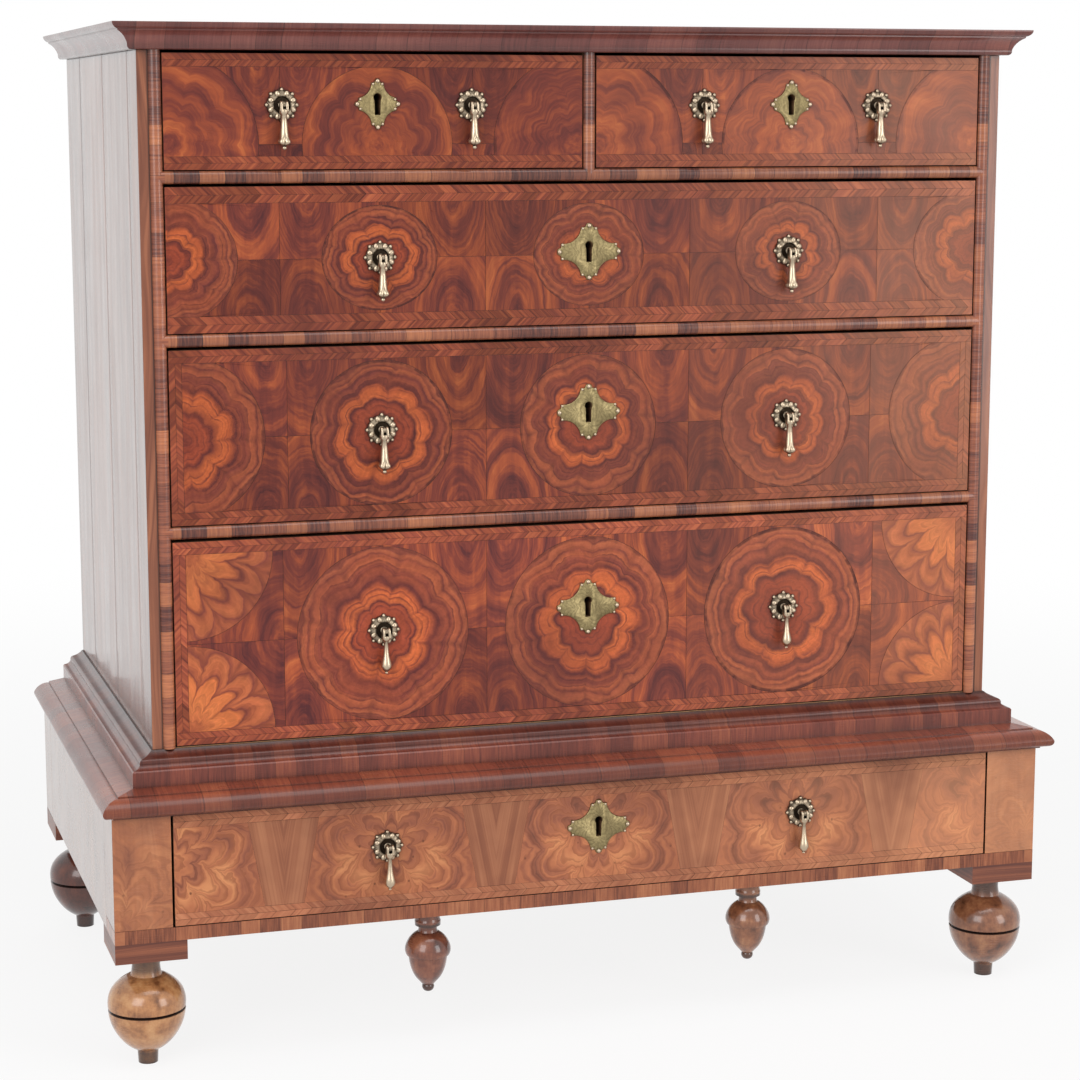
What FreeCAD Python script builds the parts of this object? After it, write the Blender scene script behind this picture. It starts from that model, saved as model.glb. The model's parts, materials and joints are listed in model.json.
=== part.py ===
import FreeCAD, Part
import math
import os
from FreeCAD import Vector

os.makedirs("parts", exist_ok=True)

# All sizes in mm. X runs to the viewer's right, Y to the back, Z up.
# The origin is on the floor under the middle of the whole piece.

# Chest carcass
carcass_width = 960.0
carcass_depth = 545.0
side_thickness = 24.5
rail_thickness = 13.0
rail_depth = 70.0
rail_housing = 8.0
bead_rise = 4.5
top_thickness = 27.0
floor_thickness = 20.0
back_thickness = 12.0
back_board_count = 5

# Heights of the chest's drawer openings, top row first
short_opening = 121.5
upper_opening = 153.5
middle_opening = 186.5
lower_opening = 220.5

# Mouldings: how far each stands out from the chest, and its height
cornice_reach = 27.0
base_reach = 25.0
base_height = 33.7
base_reveal = 1.0
nose_reach = 61.8

# Stand
stand_side_reach = 50.1
stand_front_reach = 39.6
stand_board_thickness = 25.8
stand_opening = 123.0
stand_rail_height = 14.5
post_width = 61.2
stand_panel_thickness = 22.0

# Feet and pendants
foot_height = 122.5
foot_radius = 41.5
foot_tenon_radius = 11.0
foot_tenon_length = 17.0
foot_inset_side = 38.0
foot_inset_front = 42.0
foot_block_height = 21.0
pendant_height = 91.0
pendant_radius = 25.0
pendant_spacing = 374.0
pendant_inset = 26.0
pendant_tenon_radius = 6.0
pendant_tenon_length = 11.0
tenon_clearance = 0.1

# Drawer runners
runner_width = 24.0
centre_runner_width = 50.0
guide_height = 20.0

# Drawers
drawer_side_gap = 1.2
stand_side_gap = 2.4
drawer_head_gap = 3.0
drawer_foot_gap = 1.0
drawer_run_gap = 0.2
drawer_rear_gap = 15.0
front_thickness = 22.0
front_lap = 12.0
box_side_thickness = 12.0
box_back_thickness = 12.0
box_bottom_thickness = 9.0
box_rim_drop = 6.0
strip_thickness = 5.0
strip_width = 15.0

# Pull positions: half the spacing between a pair, and the height over the opening's floor
short_pull_offset = 101.0
long_pull_offset = 230.0
stand_pull_offset = 238.0
short_pull_height = 66.5
upper_pull_height = 76.0
middle_pull_height = 94.5
lower_pull_height = 112.5
stand_pull_height = 69.0

# Keyhole heights over the opening's floor
short_key_height = 67.5
upper_key_height = 78.5
middle_key_height = 105.5
lower_key_height = 125.0
stand_key_height = 71.5

# Keyhole plates
plate_thickness = 1.8
plate_half_width = 36.0
plate_half_height = 30.5
plate_shoulder = 9.0
small_plate_half_width = 24.5
small_plate_half_height = 26.5
small_plate_shoulder = 6.5
plate_tip = 4.5
plate_waist = 0.43
keyhole_radius = 4.2
keyhole_slot = 5.6
keyhole_height = 22.0

# Drop pulls
rosette_radius = 18.0
rosette_petal_radius = 16.6
rosette_valley_radius = 14.8
rosette_petals = 8
rosette_thickness = 3.0
rosette_ring_radius = 13.6
rosette_ring_height = 5.0
rosette_dish_radius = 8.6
rosette_dish_floor = 1.8
stud_radius = 2.2
stud_bore_clearance = 0.1
stud_collar_radius = 3.8
stud_collar_height = 1.6
stud_nut_radius = 5.0
stud_nut_height = 2.5
pivot_reach = 12.0
lug_width = 3.0
lug_radius = 3.2
pivot_pin_radius = 1.2
pivot_clearance = 0.05
fork_gap = 0.3
fork_cheek = 2.4
fork_radius = 3.6
fork_bridge = 4.3
drop_length = 45.5
drop_radius = 7.2

# Locks
lock_width = 58.0
lock_height = 46.0
lock_depth = 12.0
lock_wall = 3.0
lock_key_depth = 8.0
bolt_width = 16.0
bolt_thickness = 5.0
bolt_clearance = 0.3
bolt_rise_over_key = 14.0
bolt_top_gap = 2.0
bolt_mortise_depth = 8.0
bolt_mortise_clearance = 0.8

# Fitted sizes
half_carcass = carcass_width / 2
half_opening = half_carcass - side_thickness
bead_half = rail_thickness / 2
half_stand = half_carcass + stand_side_reach
half_stand_opening = half_stand - post_width
whole_depth = carcass_depth + nose_reach
face_y = nose_reach - whole_depth / 2
rear_y = face_y + carcass_depth
stand_face_y = face_y - stand_front_reach

# Levels, from the floor up
block_top = foot_height + foot_block_height
stand_floor = block_top + stand_rail_height
stand_head = stand_floor + stand_opening
chest_foot = stand_head + stand_board_thickness
chest_floor = chest_foot + base_height + base_reveal
lower_rail = chest_floor + lower_opening
middle_floor = lower_rail + rail_thickness
middle_rail = middle_floor + middle_opening
upper_floor = middle_rail + rail_thickness
upper_rail = upper_floor + upper_opening
short_floor = upper_rail + rail_thickness
chest_head = short_floor + short_opening

rail_levels = [lower_rail, middle_rail, upper_rail]

# Where the bolts run behind a drawer front
bolt_front = front_thickness + lock_wall
bolt_back = bolt_front + bolt_thickness

# Moulding sections as shares of their own reach and height
cornice_section = [
    [(0, 0), (0.27, 0)],
    [(0.27, 0), (0.345, 0.06), (0.37, 0.19)],
    [(0.37, 0.19), (0.53, 0.50), (0.78, 0.69)],
    [(0.78, 0.69), (0.78, 0.74)],
    [(0.78, 0.74), (0.92, 0.81), (1.0, 0.94)],
    [(1.0, 0.94), (1.0, 1.0)],
    [(1.0, 1.0), (0, 1.0)],
    [(0, 1.0), (0, 0)],
]
base_section = [
    [(0, 0), (1.0, 0)],
    [(1.0, 0), (1.0, 0.47)],
    [(1.0, 0.47), (0.95, 0.51)],
    [(0.95, 0.51), (0.76, 0.55), (0.64, 0.65)],
    [(0.64, 0.65), (0.615, 0.76), (0.52, 0.81)],
    [(0.52, 0.81), (0.27, 0.875), (0.06, 1.0)],
    [(0.06, 1.0), (0, 1.0)],
    [(0, 1.0), (0, 0)],
]
stand_section = [
    [(0, 0), (0.68, 0)],
    [(0.68, 0), (0.68, 0.12)],
    [(0.68, 0.12), (0.86, 0.12)],
    [(0.86, 0.12), (0.97, 0.22), (1.0, 0.40)],
    [(1.0, 0.40), (0.86, 0.66), (0.50, 0.82)],
    [(0.50, 0.82), (0.50, 0.88)],
    [(0.50, 0.88), (0, 1.0)],
    [(0, 1.0), (0, 0)],
]

# Turned outlines as shares of their own greatest radius and height
foot_outline = [
    [(0, 0), (0.25, 0)],
    [(0.25, 0), (0.27, 0.115)],
    [(0.27, 0.115), (0.46, 0.153), (0.76, 0.26), (0.94, 0.385), (0.99, 0.48)],
    [(0.99, 0.48), (0.92, 0.493)],
    [(0.92, 0.493), (0.995, 0.506)],
    [(0.995, 0.506), (1.0, 0.548), (0.945, 0.638), (0.76, 0.722), (0.50, 0.782)],
    [(0.50, 0.782), (0.40, 0.792)],
    [(0.40, 0.792), (0.36, 0.87), (0.42, 1.0)],
]
pendant_outline = [
    [(0, 0), (0.16, 0.006), (0.24, 0.03), (0.24, 0.085)],
    [(0.24, 0.085), (0.35, 0.12), (0.54, 0.18), (0.70, 0.262), (0.81, 0.37), (0.85, 0.45)],
    [(0.85, 0.45), (0.94, 0.462)],
    [(0.94, 0.462), (1.0, 0.53), (0.93, 0.605), (0.71, 0.693), (0.44, 0.745)],
    [(0.44, 0.745), (0.40, 0.78), (0.42, 0.82)],
    [(0.42, 0.82), (0.56, 0.826)],
    [(0.56, 0.826), (0.57, 0.88)],
    [(0.57, 0.88), (0.53, 0.92), (0.60, 1.0)],
]
drop_outline = [
    [(0, 0), (0.22, 0.013), (0.34, 0.05), (0.22, 0.095)],
    [(0.22, 0.095), (0.55, 0.127)],
    [(0.55, 0.127), (0.95, 0.175), (1.0, 0.23), (0.62, 0.32)],
    [(0.62, 0.32), (0.36, 0.87)],
    [(0.36, 0.87), (0.60, 0.905)],
    [(0.60, 0.905), (0.64, 1.0)],
]


def block(x0, x1, y0, y1, z0, z1):
    return Part.makeBox(x1 - x0, y1 - y0, z1 - z0, Vector(x0, y0, z0))


def rod(radius, x, y, z, length, direction):
    return Part.makeCylinder(radius, length, Vector(x, y, z), direction)


def edges_of(segments, place):
    """Lines from two points, arcs from three, smooth curves from more."""
    edges = []
    for segment in segments:
        points = [place(u, v) for u, v in segment]
        if len(points) == 2:
            edges.append(Part.makeLine(points[0], points[1]))
        elif len(points) == 3:
            edges.append(Part.Arc(points[0], points[1], points[2]).toShape())
        else:
            curve = Part.BSplineCurve()
            curve.interpolate(points)
            edges.append(curve.toShape())
    return edges


def face_of(segments, place):
    return Part.Face(Part.Wire(edges_of(segments, place)))


def turned(outline, radius, height, x, y, z):
    """Spin an open outline, foot to head, about an upright axis."""
    head = outline[-1][-1]
    closing = [[head, (0, head[1])], [(0, head[1]), outline[0][0]]]
    face = face_of(outline + closing, lambda u, v: Vector(x + u * radius, y, z + v * height))
    return face.revolve(Vector(x, y, z), Vector(0, 0, 1), 360)


def upright_prism(corners, z0, z1):
    points = [Vector(x, y, z0) for x, y in corners]
    face = Part.Face(Part.makePolygon(points + points[:1]))
    return face.extrude(Vector(0, 0, z1 - z0))


def wedge(corners, y0, y1):
    points = [Vector(x, y0, z) for x, z in corners]
    face = Part.Face(Part.makePolygon(points + points[:1]))
    return face.extrude(Vector(0, y1 - y0, 0))


def mitred_lengths(section, half_width, front, inner, outer, foot, height):
    """Front length and two returns of a moulding, mitred at the front corners."""
    reach = outer - inner
    half = half_width + inner
    y_in = front - inner
    x_out = half + reach
    y_out = y_in - reach
    long_face = face_of(section, lambda u, v: Vector(-x_out, y_in - u * reach, foot + v * height))
    front_length = long_face.extrude(Vector(2 * x_out, 0, 0))
    corners = [(-half, y_in), (half, y_in), (x_out, y_out), (-x_out, y_out)]
    lengths = [front_length.common(upright_prism(corners, foot, foot + height))]
    for hand in (-1, 1):
        end_face = face_of(section, lambda u, v: Vector(hand * (half + u * reach), y_out, foot + v * height))
        return_length = end_face.extrude(Vector(0, rear_y - y_out, 0))
        corners = [(hand * half, y_in), (hand * half, rear_y), (hand * x_out, rear_y), (hand * x_out, y_out)]
        lengths.append(return_length.common(upright_prism(corners, foot, foot + height)))
    return lengths


def save(name, solids):
    shape = solids[0] if len(solids) == 1 else Part.makeCompound(solids)
    shape.exportStep("parts/" + name + ".step")


def bolt_mortise(x, drawer_face, head):
    """Slot in the board over a drawer that its lock bolt rises into."""
    c = bolt_mortise_clearance
    half = bolt_width / 2 + c
    return block(x - half, x + half, drawer_face + bolt_front - c, drawer_face + bolt_back + c,
                 head, head + bolt_mortise_depth)


def chest_boards():
    sides = []
    for hand in (-1, 1):
        x_near, x_far = sorted((hand * half_opening, hand * half_carcass))
        side = block(x_near, x_far, face_y, rear_y, chest_foot, chest_head)
        for level in rail_levels:
            x_in, x_end = sorted((hand * half_opening, hand * (half_opening + rail_housing)))
            side = side.cut(block(x_in, x_end, face_y, face_y + rail_depth, level, level + rail_thickness))
        sides.append(side)
    save("chest_sides", sides)
    top = block(-half_carcass, half_carcass, face_y, rear_y, chest_head, chest_head + top_thickness)
    for hand in (-1, 1):
        top = top.cut(bolt_mortise(hand * short_centre, face_y, chest_head))
    save("chest_top_board", [top])
    floor = block(-half_opening, half_opening, face_y, rear_y - back_thickness,
                  chest_floor - floor_thickness, chest_floor)
    save("chest_bottom_board", [floor])
    board = 2 * half_opening / back_board_count
    backs = []
    for number in range(back_board_count):
        x0 = -half_opening + number * board
        backs.append(block(x0, x0 + board, rear_y - back_thickness, rear_y, chest_foot, chest_head))
    save("chest_back_boards", backs)


def rails():
    reach = half_opening + rail_housing
    made = []
    for level in rail_levels:
        rail = block(-reach, reach, face_y, face_y + rail_depth, level, level + rail_thickness)
        made.append(rail.cut(bolt_mortise(0, face_y, level)))
    save("drawer_rails", made)
    divider = block(-bead_half, bead_half, face_y, face_y + rail_depth, short_floor, chest_head)
    save("short_drawer_divider", [divider])


def half_round(place, along):
    section = [[(-bead_half, 0), (bead_half, 0)], [(bead_half, 0), (0, bead_rise), (-bead_half, 0)]]
    return face_of(section, place).extrude(along)


def beads():
    """Half-round beads round the drawer openings, mitred where they meet."""
    y0 = face_y - bead_rise
    foot = chest_floor - base_reveal
    made = []
    for hand in (-1, 1):
        x = hand * (half_opening + bead_half)
        upright = half_round(lambda u, v: Vector(x + u, face_y - v, foot), Vector(0, 0, chest_head - foot))
        for level in rail_levels:
            edge = hand * half_opening
            notch = [(edge, level), (edge, level + rail_thickness), (x, level + bead_half)]
            upright = upright.cut(wedge(notch, y0, face_y))
        made.append(upright)
    tip = half_opening + bead_half
    for level in rail_levels:
        middle = level + bead_half
        cross = half_round(lambda u, v: Vector(-tip, face_y - v, middle + u), Vector(2 * tip, 0, 0))
        for hand in (-1, 1):
            for edge in (level, level + rail_thickness):
                waste = [(hand * half_opening, edge), (hand * tip, edge), (hand * tip, middle)]
                cross = cross.cut(wedge(waste, y0, face_y))
        if level == upper_rail:
            notch = [(-bead_half, short_floor), (bead_half, short_floor), (0, middle)]
            cross = cross.cut(wedge(notch, y0, face_y))
        made.append(cross)
    middle = upper_rail + bead_half
    divider = half_round(lambda u, v: Vector(u, face_y - v, middle), Vector(0, 0, chest_head - middle))
    for hand in (-1, 1):
        waste = [(hand * bead_half, short_floor), (hand * bead_half, middle), (0, middle)]
        divider = divider.cut(wedge(waste, y0, face_y))
    made.append(divider)
    save("drawer_opening_beads", made)


def runners():
    front = face_y + rail_depth
    back = rear_y - back_thickness
    made = []
    for level in rail_levels:
        for hand in (-1, 1):
            x0, x1 = sorted((hand * half_opening, hand * (half_opening - runner_width)))
            made.append(block(x0, x1, front, back, level, level + rail_thickness))
    half = centre_runner_width / 2
    made.append(block(-half, half, front, back, upper_rail, short_floor))
    made.append(block(-bead_half, bead_half, front, back, short_floor, short_floor + guide_height))
    front = stand_face_y + post_width
    wall = half_stand - stand_panel_thickness
    inner = half_stand_opening - runner_width
    rear_post = rear_y - post_width
    for hand in (-1, 1):
        x0, x1 = sorted((hand * wall, hand * inner))
        made.append(block(x0, x1, front, rear_post, block_top, stand_floor))
        x0, x1 = sorted((hand * wall, hand * half_stand_opening))
        made.append(block(x0, x1, front, rear_post, stand_floor, stand_floor + guide_height))
    save("drawer_runners", made)


def mouldings():
    save("cornice_moulding", mitred_lengths(cornice_section, half_carcass, face_y, 0, cornice_reach,
                                            chest_head, top_thickness))
    save("base_moulding", mitred_lengths(base_section, half_carcass, face_y, 0, base_reach,
                                         chest_foot, base_height))
    save("stand_moulding", mitred_lengths(stand_section, half_carcass, face_y, base_reach, nose_reach,
                                          stand_head, stand_board_thickness))


def stand_frame():
    posts = []
    panels = []
    front_back = stand_face_y + post_width
    rear_front = rear_y - post_width
    for hand in (-1, 1):
        x0, x1 = sorted((hand * half_stand_opening, hand * half_stand))
        posts.append(block(x0, x1, stand_face_y, front_back, stand_floor, stand_head))
        posts.append(block(x0, x1, rear_front, rear_y, block_top, stand_head))
        x0, x1 = sorted((hand * (half_stand - stand_panel_thickness), hand * half_stand))
        panels.append(block(x0, x1, front_back, rear_front, block_top, stand_head))
    panels.append(block(-half_stand_opening, half_stand_opening, rear_y - stand_panel_thickness, rear_y,
                        block_top, stand_head))
    save("stand_posts", posts)
    save("stand_panels", panels)
    rail = block(-half_stand, half_stand, stand_face_y, front_back, block_top, stand_floor)
    bore = pendant_tenon_radius + tenon_clearance
    bore_depth = pendant_tenon_length + tenon_clearance
    for x in pendant_places:
        rail = rail.cut(rod(bore, x, pendant_y, block_top, bore_depth, Vector(0, 0, 1)))
    save("stand_front_rail", [rail])
    half = half_carcass + base_reach
    board = block(-half, half, face_y - base_reach, rear_y, stand_head, chest_foot)
    save("stand_top_board", [board.cut(bolt_mortise(0, stand_face_y, stand_head))])


def feet():
    blocks = []
    balls = []
    bore = foot_tenon_radius + tenon_clearance
    for hand in (-1, 1):
        for edge, inward in ((stand_face_y, 1), (rear_y, -1)):
            x = hand * (half_stand - foot_inset_side)
            y = edge + inward * foot_inset_front
            pad = block(x - foot_inset_side, x + foot_inset_side, y - foot_inset_front, y + foot_inset_front,
                        foot_height, block_top)
            hole = rod(bore, x, y, foot_height, foot_tenon_length + tenon_clearance, Vector(0, 0, 1))
            blocks.append(pad.cut(hole))
            ball = turned(foot_outline, foot_radius, foot_height, x, y, 0)
            tenon = rod(foot_tenon_radius, x, y, foot_height, foot_tenon_length, Vector(0, 0, 1))
            balls.append(ball.fuse(tenon))
    save("foot_blocks", blocks)
    save("ball_feet", balls)
    pendants = []
    pendant_tip = block_top - pendant_height
    for x in pendant_places:
        acorn = turned(pendant_outline, pendant_radius, pendant_height, x, pendant_y, pendant_tip)
        tenon = rod(pendant_tenon_radius, x, pendant_y, block_top, pendant_tenon_length, Vector(0, 0, 1))
        pendants.append(acorn.fuse(tenon))
    save("acorn_pendants", pendants)


def keyhole(x, y0, y1, z):
    """Round head over a parallel slot, centred on z."""
    head = z + keyhole_height / 2 - keyhole_radius
    half = keyhole_slot / 2
    round_part = rod(keyhole_radius, x, y0, head, y1 - y0, Vector(0, 1, 0))
    slot = block(x - half, x + half, y0, y1, z - keyhole_height / 2, head)
    return round_part.fuse(slot)


def keyhole_plate(x, y, z, half_width, half_height, shoulder):
    """Diamond plate with hollow sides and a knop between two shoulders at each tip."""
    right = half_width - plate_tip
    top = half_height - plate_tip
    waist_x = half_width * plate_waist
    waist_z = half_height * plate_waist
    knop = shoulder / 2
    segments = []
    for su, sv in ((1, 1), (-1, 1), (-1, -1), (1, -1)):
        side = [(su * right, sv * shoulder), (su * waist_x, sv * waist_z), (su * shoulder, sv * top)]
        upper = [[(su * shoulder, sv * top), (su * knop, sv * top)],
                 [(su * knop, sv * top), (0, sv * half_height), (-su * knop, sv * top)],
                 [(-su * knop, sv * top), (-su * shoulder, sv * top)]]
        flank = [[(su * right, -sv * shoulder), (su * right, -sv * knop)],
                 [(su * right, -sv * knop), (su * half_width, 0), (su * right, sv * knop)],
                 [(su * right, sv * knop), (su * right, sv * shoulder)]]
        if su * sv > 0:
            segments.extend(flank + [side] + upper)
        else:
            segments.append(side[::-1])
    face = face_of(segments, lambda u, v: Vector(x + u, y, z + v))
    plate = face.extrude(Vector(0, -plate_thickness, 0))
    return plate.cut(keyhole(x, y - 2 * plate_thickness, y + plate_thickness, z))


def rosette(x, y, z):
    """Dished rose with alternating long and short petals."""
    step = math.pi / rosette_petals
    segments = []
    for number in range(2 * rosette_petals):
        tip = rosette_radius if number % 2 else rosette_petal_radius
        run = [((number - 0.5) * step, rosette_valley_radius), (number * step, tip),
               ((number + 0.5) * step, rosette_valley_radius)]
        segments.append([(radius * math.cos(turn), radius * math.sin(turn)) for turn, radius in run])
    face = face_of(segments, lambda u, v: Vector(x + u, y, z + v))
    outward = Vector(0, -1, 0)
    rose = face.extrude(outward * rosette_thickness)
    rose = rose.fuse(rod(rosette_ring_radius, x, y, z, rosette_ring_height, outward))
    rose = rose.cut(rod(rosette_dish_radius, x, y - rosette_dish_floor, z, rosette_ring_height, outward))
    return rose.cut(rod(stud_radius + stud_bore_clearance, x, y, z, rosette_ring_height, outward))


def stud(x, y, z):
    """Shank through the drawer front, lug in front of the rose, cross pin for the drop."""
    outward = Vector(0, -1, 0)
    inside = y + front_thickness
    pivot = y - pivot_reach
    floor = y - rosette_dish_floor
    shape = rod(stud_radius, x, inside, z, inside - floor, outward)
    shape = shape.fuse(rod(stud_nut_radius, x, inside + stud_nut_height, z, stud_nut_height, outward))
    shape = shape.fuse(rod(stud_collar_radius, x, floor, z, stud_collar_height, outward))
    half = lug_width / 2
    shape = shape.fuse(block(x - half, x + half, pivot, floor, z - lug_radius, z + lug_radius))
    shape = shape.fuse(rod(lug_radius, x - half, pivot, z, lug_width, Vector(1, 0, 0)))
    pin = half + fork_gap + fork_cheek
    return shape.fuse(rod(pivot_pin_radius, x - pin, pivot, z, 2 * pin, Vector(1, 0, 0)))


def drop(x, y, z):
    """Turned drop with a fork that straddles the lug."""
    shape = turned(drop_outline, drop_radius, drop_length - fork_bridge, x, y, z - drop_length)
    inner = lug_width / 2 + fork_gap
    outer = inner + fork_cheek
    for hand in (-1, 1):
        x0, x1 = sorted((x + hand * inner, x + hand * outer))
        shape = shape.fuse(block(x0, x1, y - fork_radius, y + fork_radius, z - fork_bridge - fork_cheek, z))
        shape = shape.fuse(rod(fork_radius, x0, y, z, fork_cheek, Vector(1, 0, 0)))
    return shape.cut(rod(pivot_pin_radius + pivot_clearance, x - outer, y, z, 2 * outer, Vector(1, 0, 0)))


def lock(name, x, y, key_z, front_top):
    """Iron lock on the back of a drawer front, with a bolt that rises past its top edge."""
    half = lock_width / 2
    back = y + front_thickness
    foot = key_z - lock_height / 2
    case = block(x - half, x + half, back, back + lock_depth, foot, foot + lock_height)
    case = case.cut(keyhole(x, back, back + lock_key_depth, key_z))
    c = bolt_clearance
    reach = bolt_width / 2
    bolt_foot = key_z + bolt_rise_over_key
    case = case.cut(block(x - reach - c, x + reach + c, y + bolt_front - c, y + bolt_back + c,
                          bolt_foot - c, foot + lock_height))
    save(name + "_lock_case", [case])
    bolt = block(x - reach, x + reach, y + bolt_front, y + bolt_back, bolt_foot, front_top - bolt_top_gap)
    save(name + "_lock_bolt", [bolt])


def drawer(name, x, half, floor, opening, y, y_end, pull_offset, pull_height, key_height, plate):
    front_top = floor + opening - drawer_head_gap
    key_z = floor + key_height
    pull_z = floor + pull_height
    back = y + front_thickness
    strip_foot = floor + drawer_run_gap
    bottom_foot = strip_foot + strip_thickness
    side_foot = bottom_foot + box_bottom_thickness
    rim = front_top - box_rim_drop
    front = block(x - half, x + half, y, back, floor + drawer_foot_gap, front_top)
    box = []
    for hand in (-1, 1):
        x0, x1 = sorted((x + hand * half, x + hand * (half - box_side_thickness)))
        side = block(x0, x1, back - front_lap, y_end, side_foot, rim)
        front = front.cut(side)
        box.append(side)
        x0, x1 = sorted((x + hand * half, x + hand * (half - strip_width)))
        box.append(block(x0, x1, back, y_end, strip_foot, bottom_foot))
    inner = half - box_side_thickness
    box.append(block(x - inner, x + inner, y_end - box_back_thickness, y_end, side_foot, rim))
    box.append(block(x - half, x + half, back, y_end, bottom_foot, side_foot))
    front = front.cut(keyhole(x, y, back, key_z))
    fittings = [keyhole_plate(x, y, key_z, *plate)]
    stud_bore = stud_radius + stud_bore_clearance
    for hand, side_name in ((-1, "left"), (1, "right")):
        pull_x = x + hand * pull_offset
        front = front.cut(rod(stud_bore, pull_x, y, pull_z, front_thickness, Vector(0, 1, 0)))
        fittings.append(rosette(pull_x, y, pull_z))
        fittings.append(stud(pull_x, y, pull_z))
        save(name + "_drop_" + side_name, [drop(pull_x, y - pivot_reach, pull_z)])
    save(name + "_front", [front])
    save(name + "_box", box)
    save(name + "_fittings", fittings)
    lock(name, x, y, key_z, front_top)


pendant_y = stand_face_y + pendant_inset
pendant_places = (-pendant_spacing / 2, pendant_spacing / 2)
short_opening_width = half_opening - bead_half
short_centre = bead_half + short_opening_width / 2
half_short_front = short_opening_width / 2 - drawer_side_gap
half_long_front = half_opening - drawer_side_gap
half_stand_front = half_stand_opening - stand_side_gap
chest_drawer_end = rear_y - back_thickness - drawer_rear_gap
stand_drawer_end = rear_y - stand_panel_thickness - drawer_rear_gap
long_plate = (plate_half_width, plate_half_height, plate_shoulder)
small_plate = (small_plate_half_width, small_plate_half_height, small_plate_shoulder)

chest_boards()
rails()
beads()
runners()
mouldings()
stand_frame()
feet()
for short_name, short_hand in (("top_left_drawer", -1), ("top_right_drawer", 1)):
    drawer(short_name, short_hand * short_centre, half_short_front, short_floor, short_opening, face_y,
           chest_drawer_end, short_pull_offset, short_pull_height, short_key_height, small_plate)
drawer("upper_drawer", 0, half_long_front, upper_floor, upper_opening, face_y,
       chest_drawer_end, long_pull_offset, upper_pull_height, upper_key_height, long_plate)
drawer("middle_drawer", 0, half_long_front, middle_floor, middle_opening, face_y,
       chest_drawer_end, long_pull_offset, middle_pull_height, middle_key_height, long_plate)
drawer("lower_drawer", 0, half_long_front, chest_floor, lower_opening, face_y,
       chest_drawer_end, long_pull_offset, lower_pull_height, lower_key_height, long_plate)
drawer("stand_drawer", 0, half_stand_front, stand_floor, stand_opening, stand_face_y,
       stand_drawer_end, stand_pull_offset, stand_pull_height, stand_key_height, long_plate)
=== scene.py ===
# %% [markdown]
# # A walnut chest on a stand
# The chest is a box of pine boards under a skin of walnut. Its drawer fronts are covered with
# "oysters", slices cut straight across a branch, so each one shows its rings as a whole flower.
# The packed model gives every board its place. This lesson adds the skin, the polish, the cast
# brass and the light.

import json
import math
import random

import bpy
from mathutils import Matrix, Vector


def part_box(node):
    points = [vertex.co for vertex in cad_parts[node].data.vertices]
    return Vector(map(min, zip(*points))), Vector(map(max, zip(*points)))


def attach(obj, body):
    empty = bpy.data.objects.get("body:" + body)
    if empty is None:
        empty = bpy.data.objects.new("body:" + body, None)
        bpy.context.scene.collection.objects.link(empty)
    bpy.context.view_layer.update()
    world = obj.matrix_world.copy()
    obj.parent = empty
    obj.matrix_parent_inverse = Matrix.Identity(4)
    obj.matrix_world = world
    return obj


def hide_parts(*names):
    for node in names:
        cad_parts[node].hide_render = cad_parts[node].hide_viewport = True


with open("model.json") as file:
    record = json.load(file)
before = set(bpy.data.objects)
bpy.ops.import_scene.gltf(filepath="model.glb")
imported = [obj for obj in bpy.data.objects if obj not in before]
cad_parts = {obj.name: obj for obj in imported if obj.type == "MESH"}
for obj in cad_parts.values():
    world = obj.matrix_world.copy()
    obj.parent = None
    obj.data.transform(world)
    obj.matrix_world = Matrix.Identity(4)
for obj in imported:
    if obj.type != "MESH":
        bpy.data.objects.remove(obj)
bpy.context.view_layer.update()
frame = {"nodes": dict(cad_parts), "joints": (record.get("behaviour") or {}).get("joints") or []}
MM = 0.001

# %% [markdown]
# ## Colours
# A colour read off a piece of wood is easiest to name in the 0 to 255 steps of a paint program.
# Blender mixes light in linear values, so one helper turns the first into the second.


# %% Named colours
def paint(red, green, blue):
    """Linear colour from 0 to 255 screen steps."""

    def linear(step):
        share = step / 255
        return share / 12.92 if share <= 0.04045 else ((share + 0.055) / 1.055) ** 2.4

    return (linear(red), linear(green), linear(blue), 1.0)


print("mid walnut is", [round(c, 3) for c in paint(150, 75, 45)[:3]])

# %% [markdown]
# ## Short calls for shader nodes
# A wood is a few dozen small sums. Wiring them by hand fills pages, so a node sheet adds one
# node per call, sets its sockets to numbers or links, and hands back the output.


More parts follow.
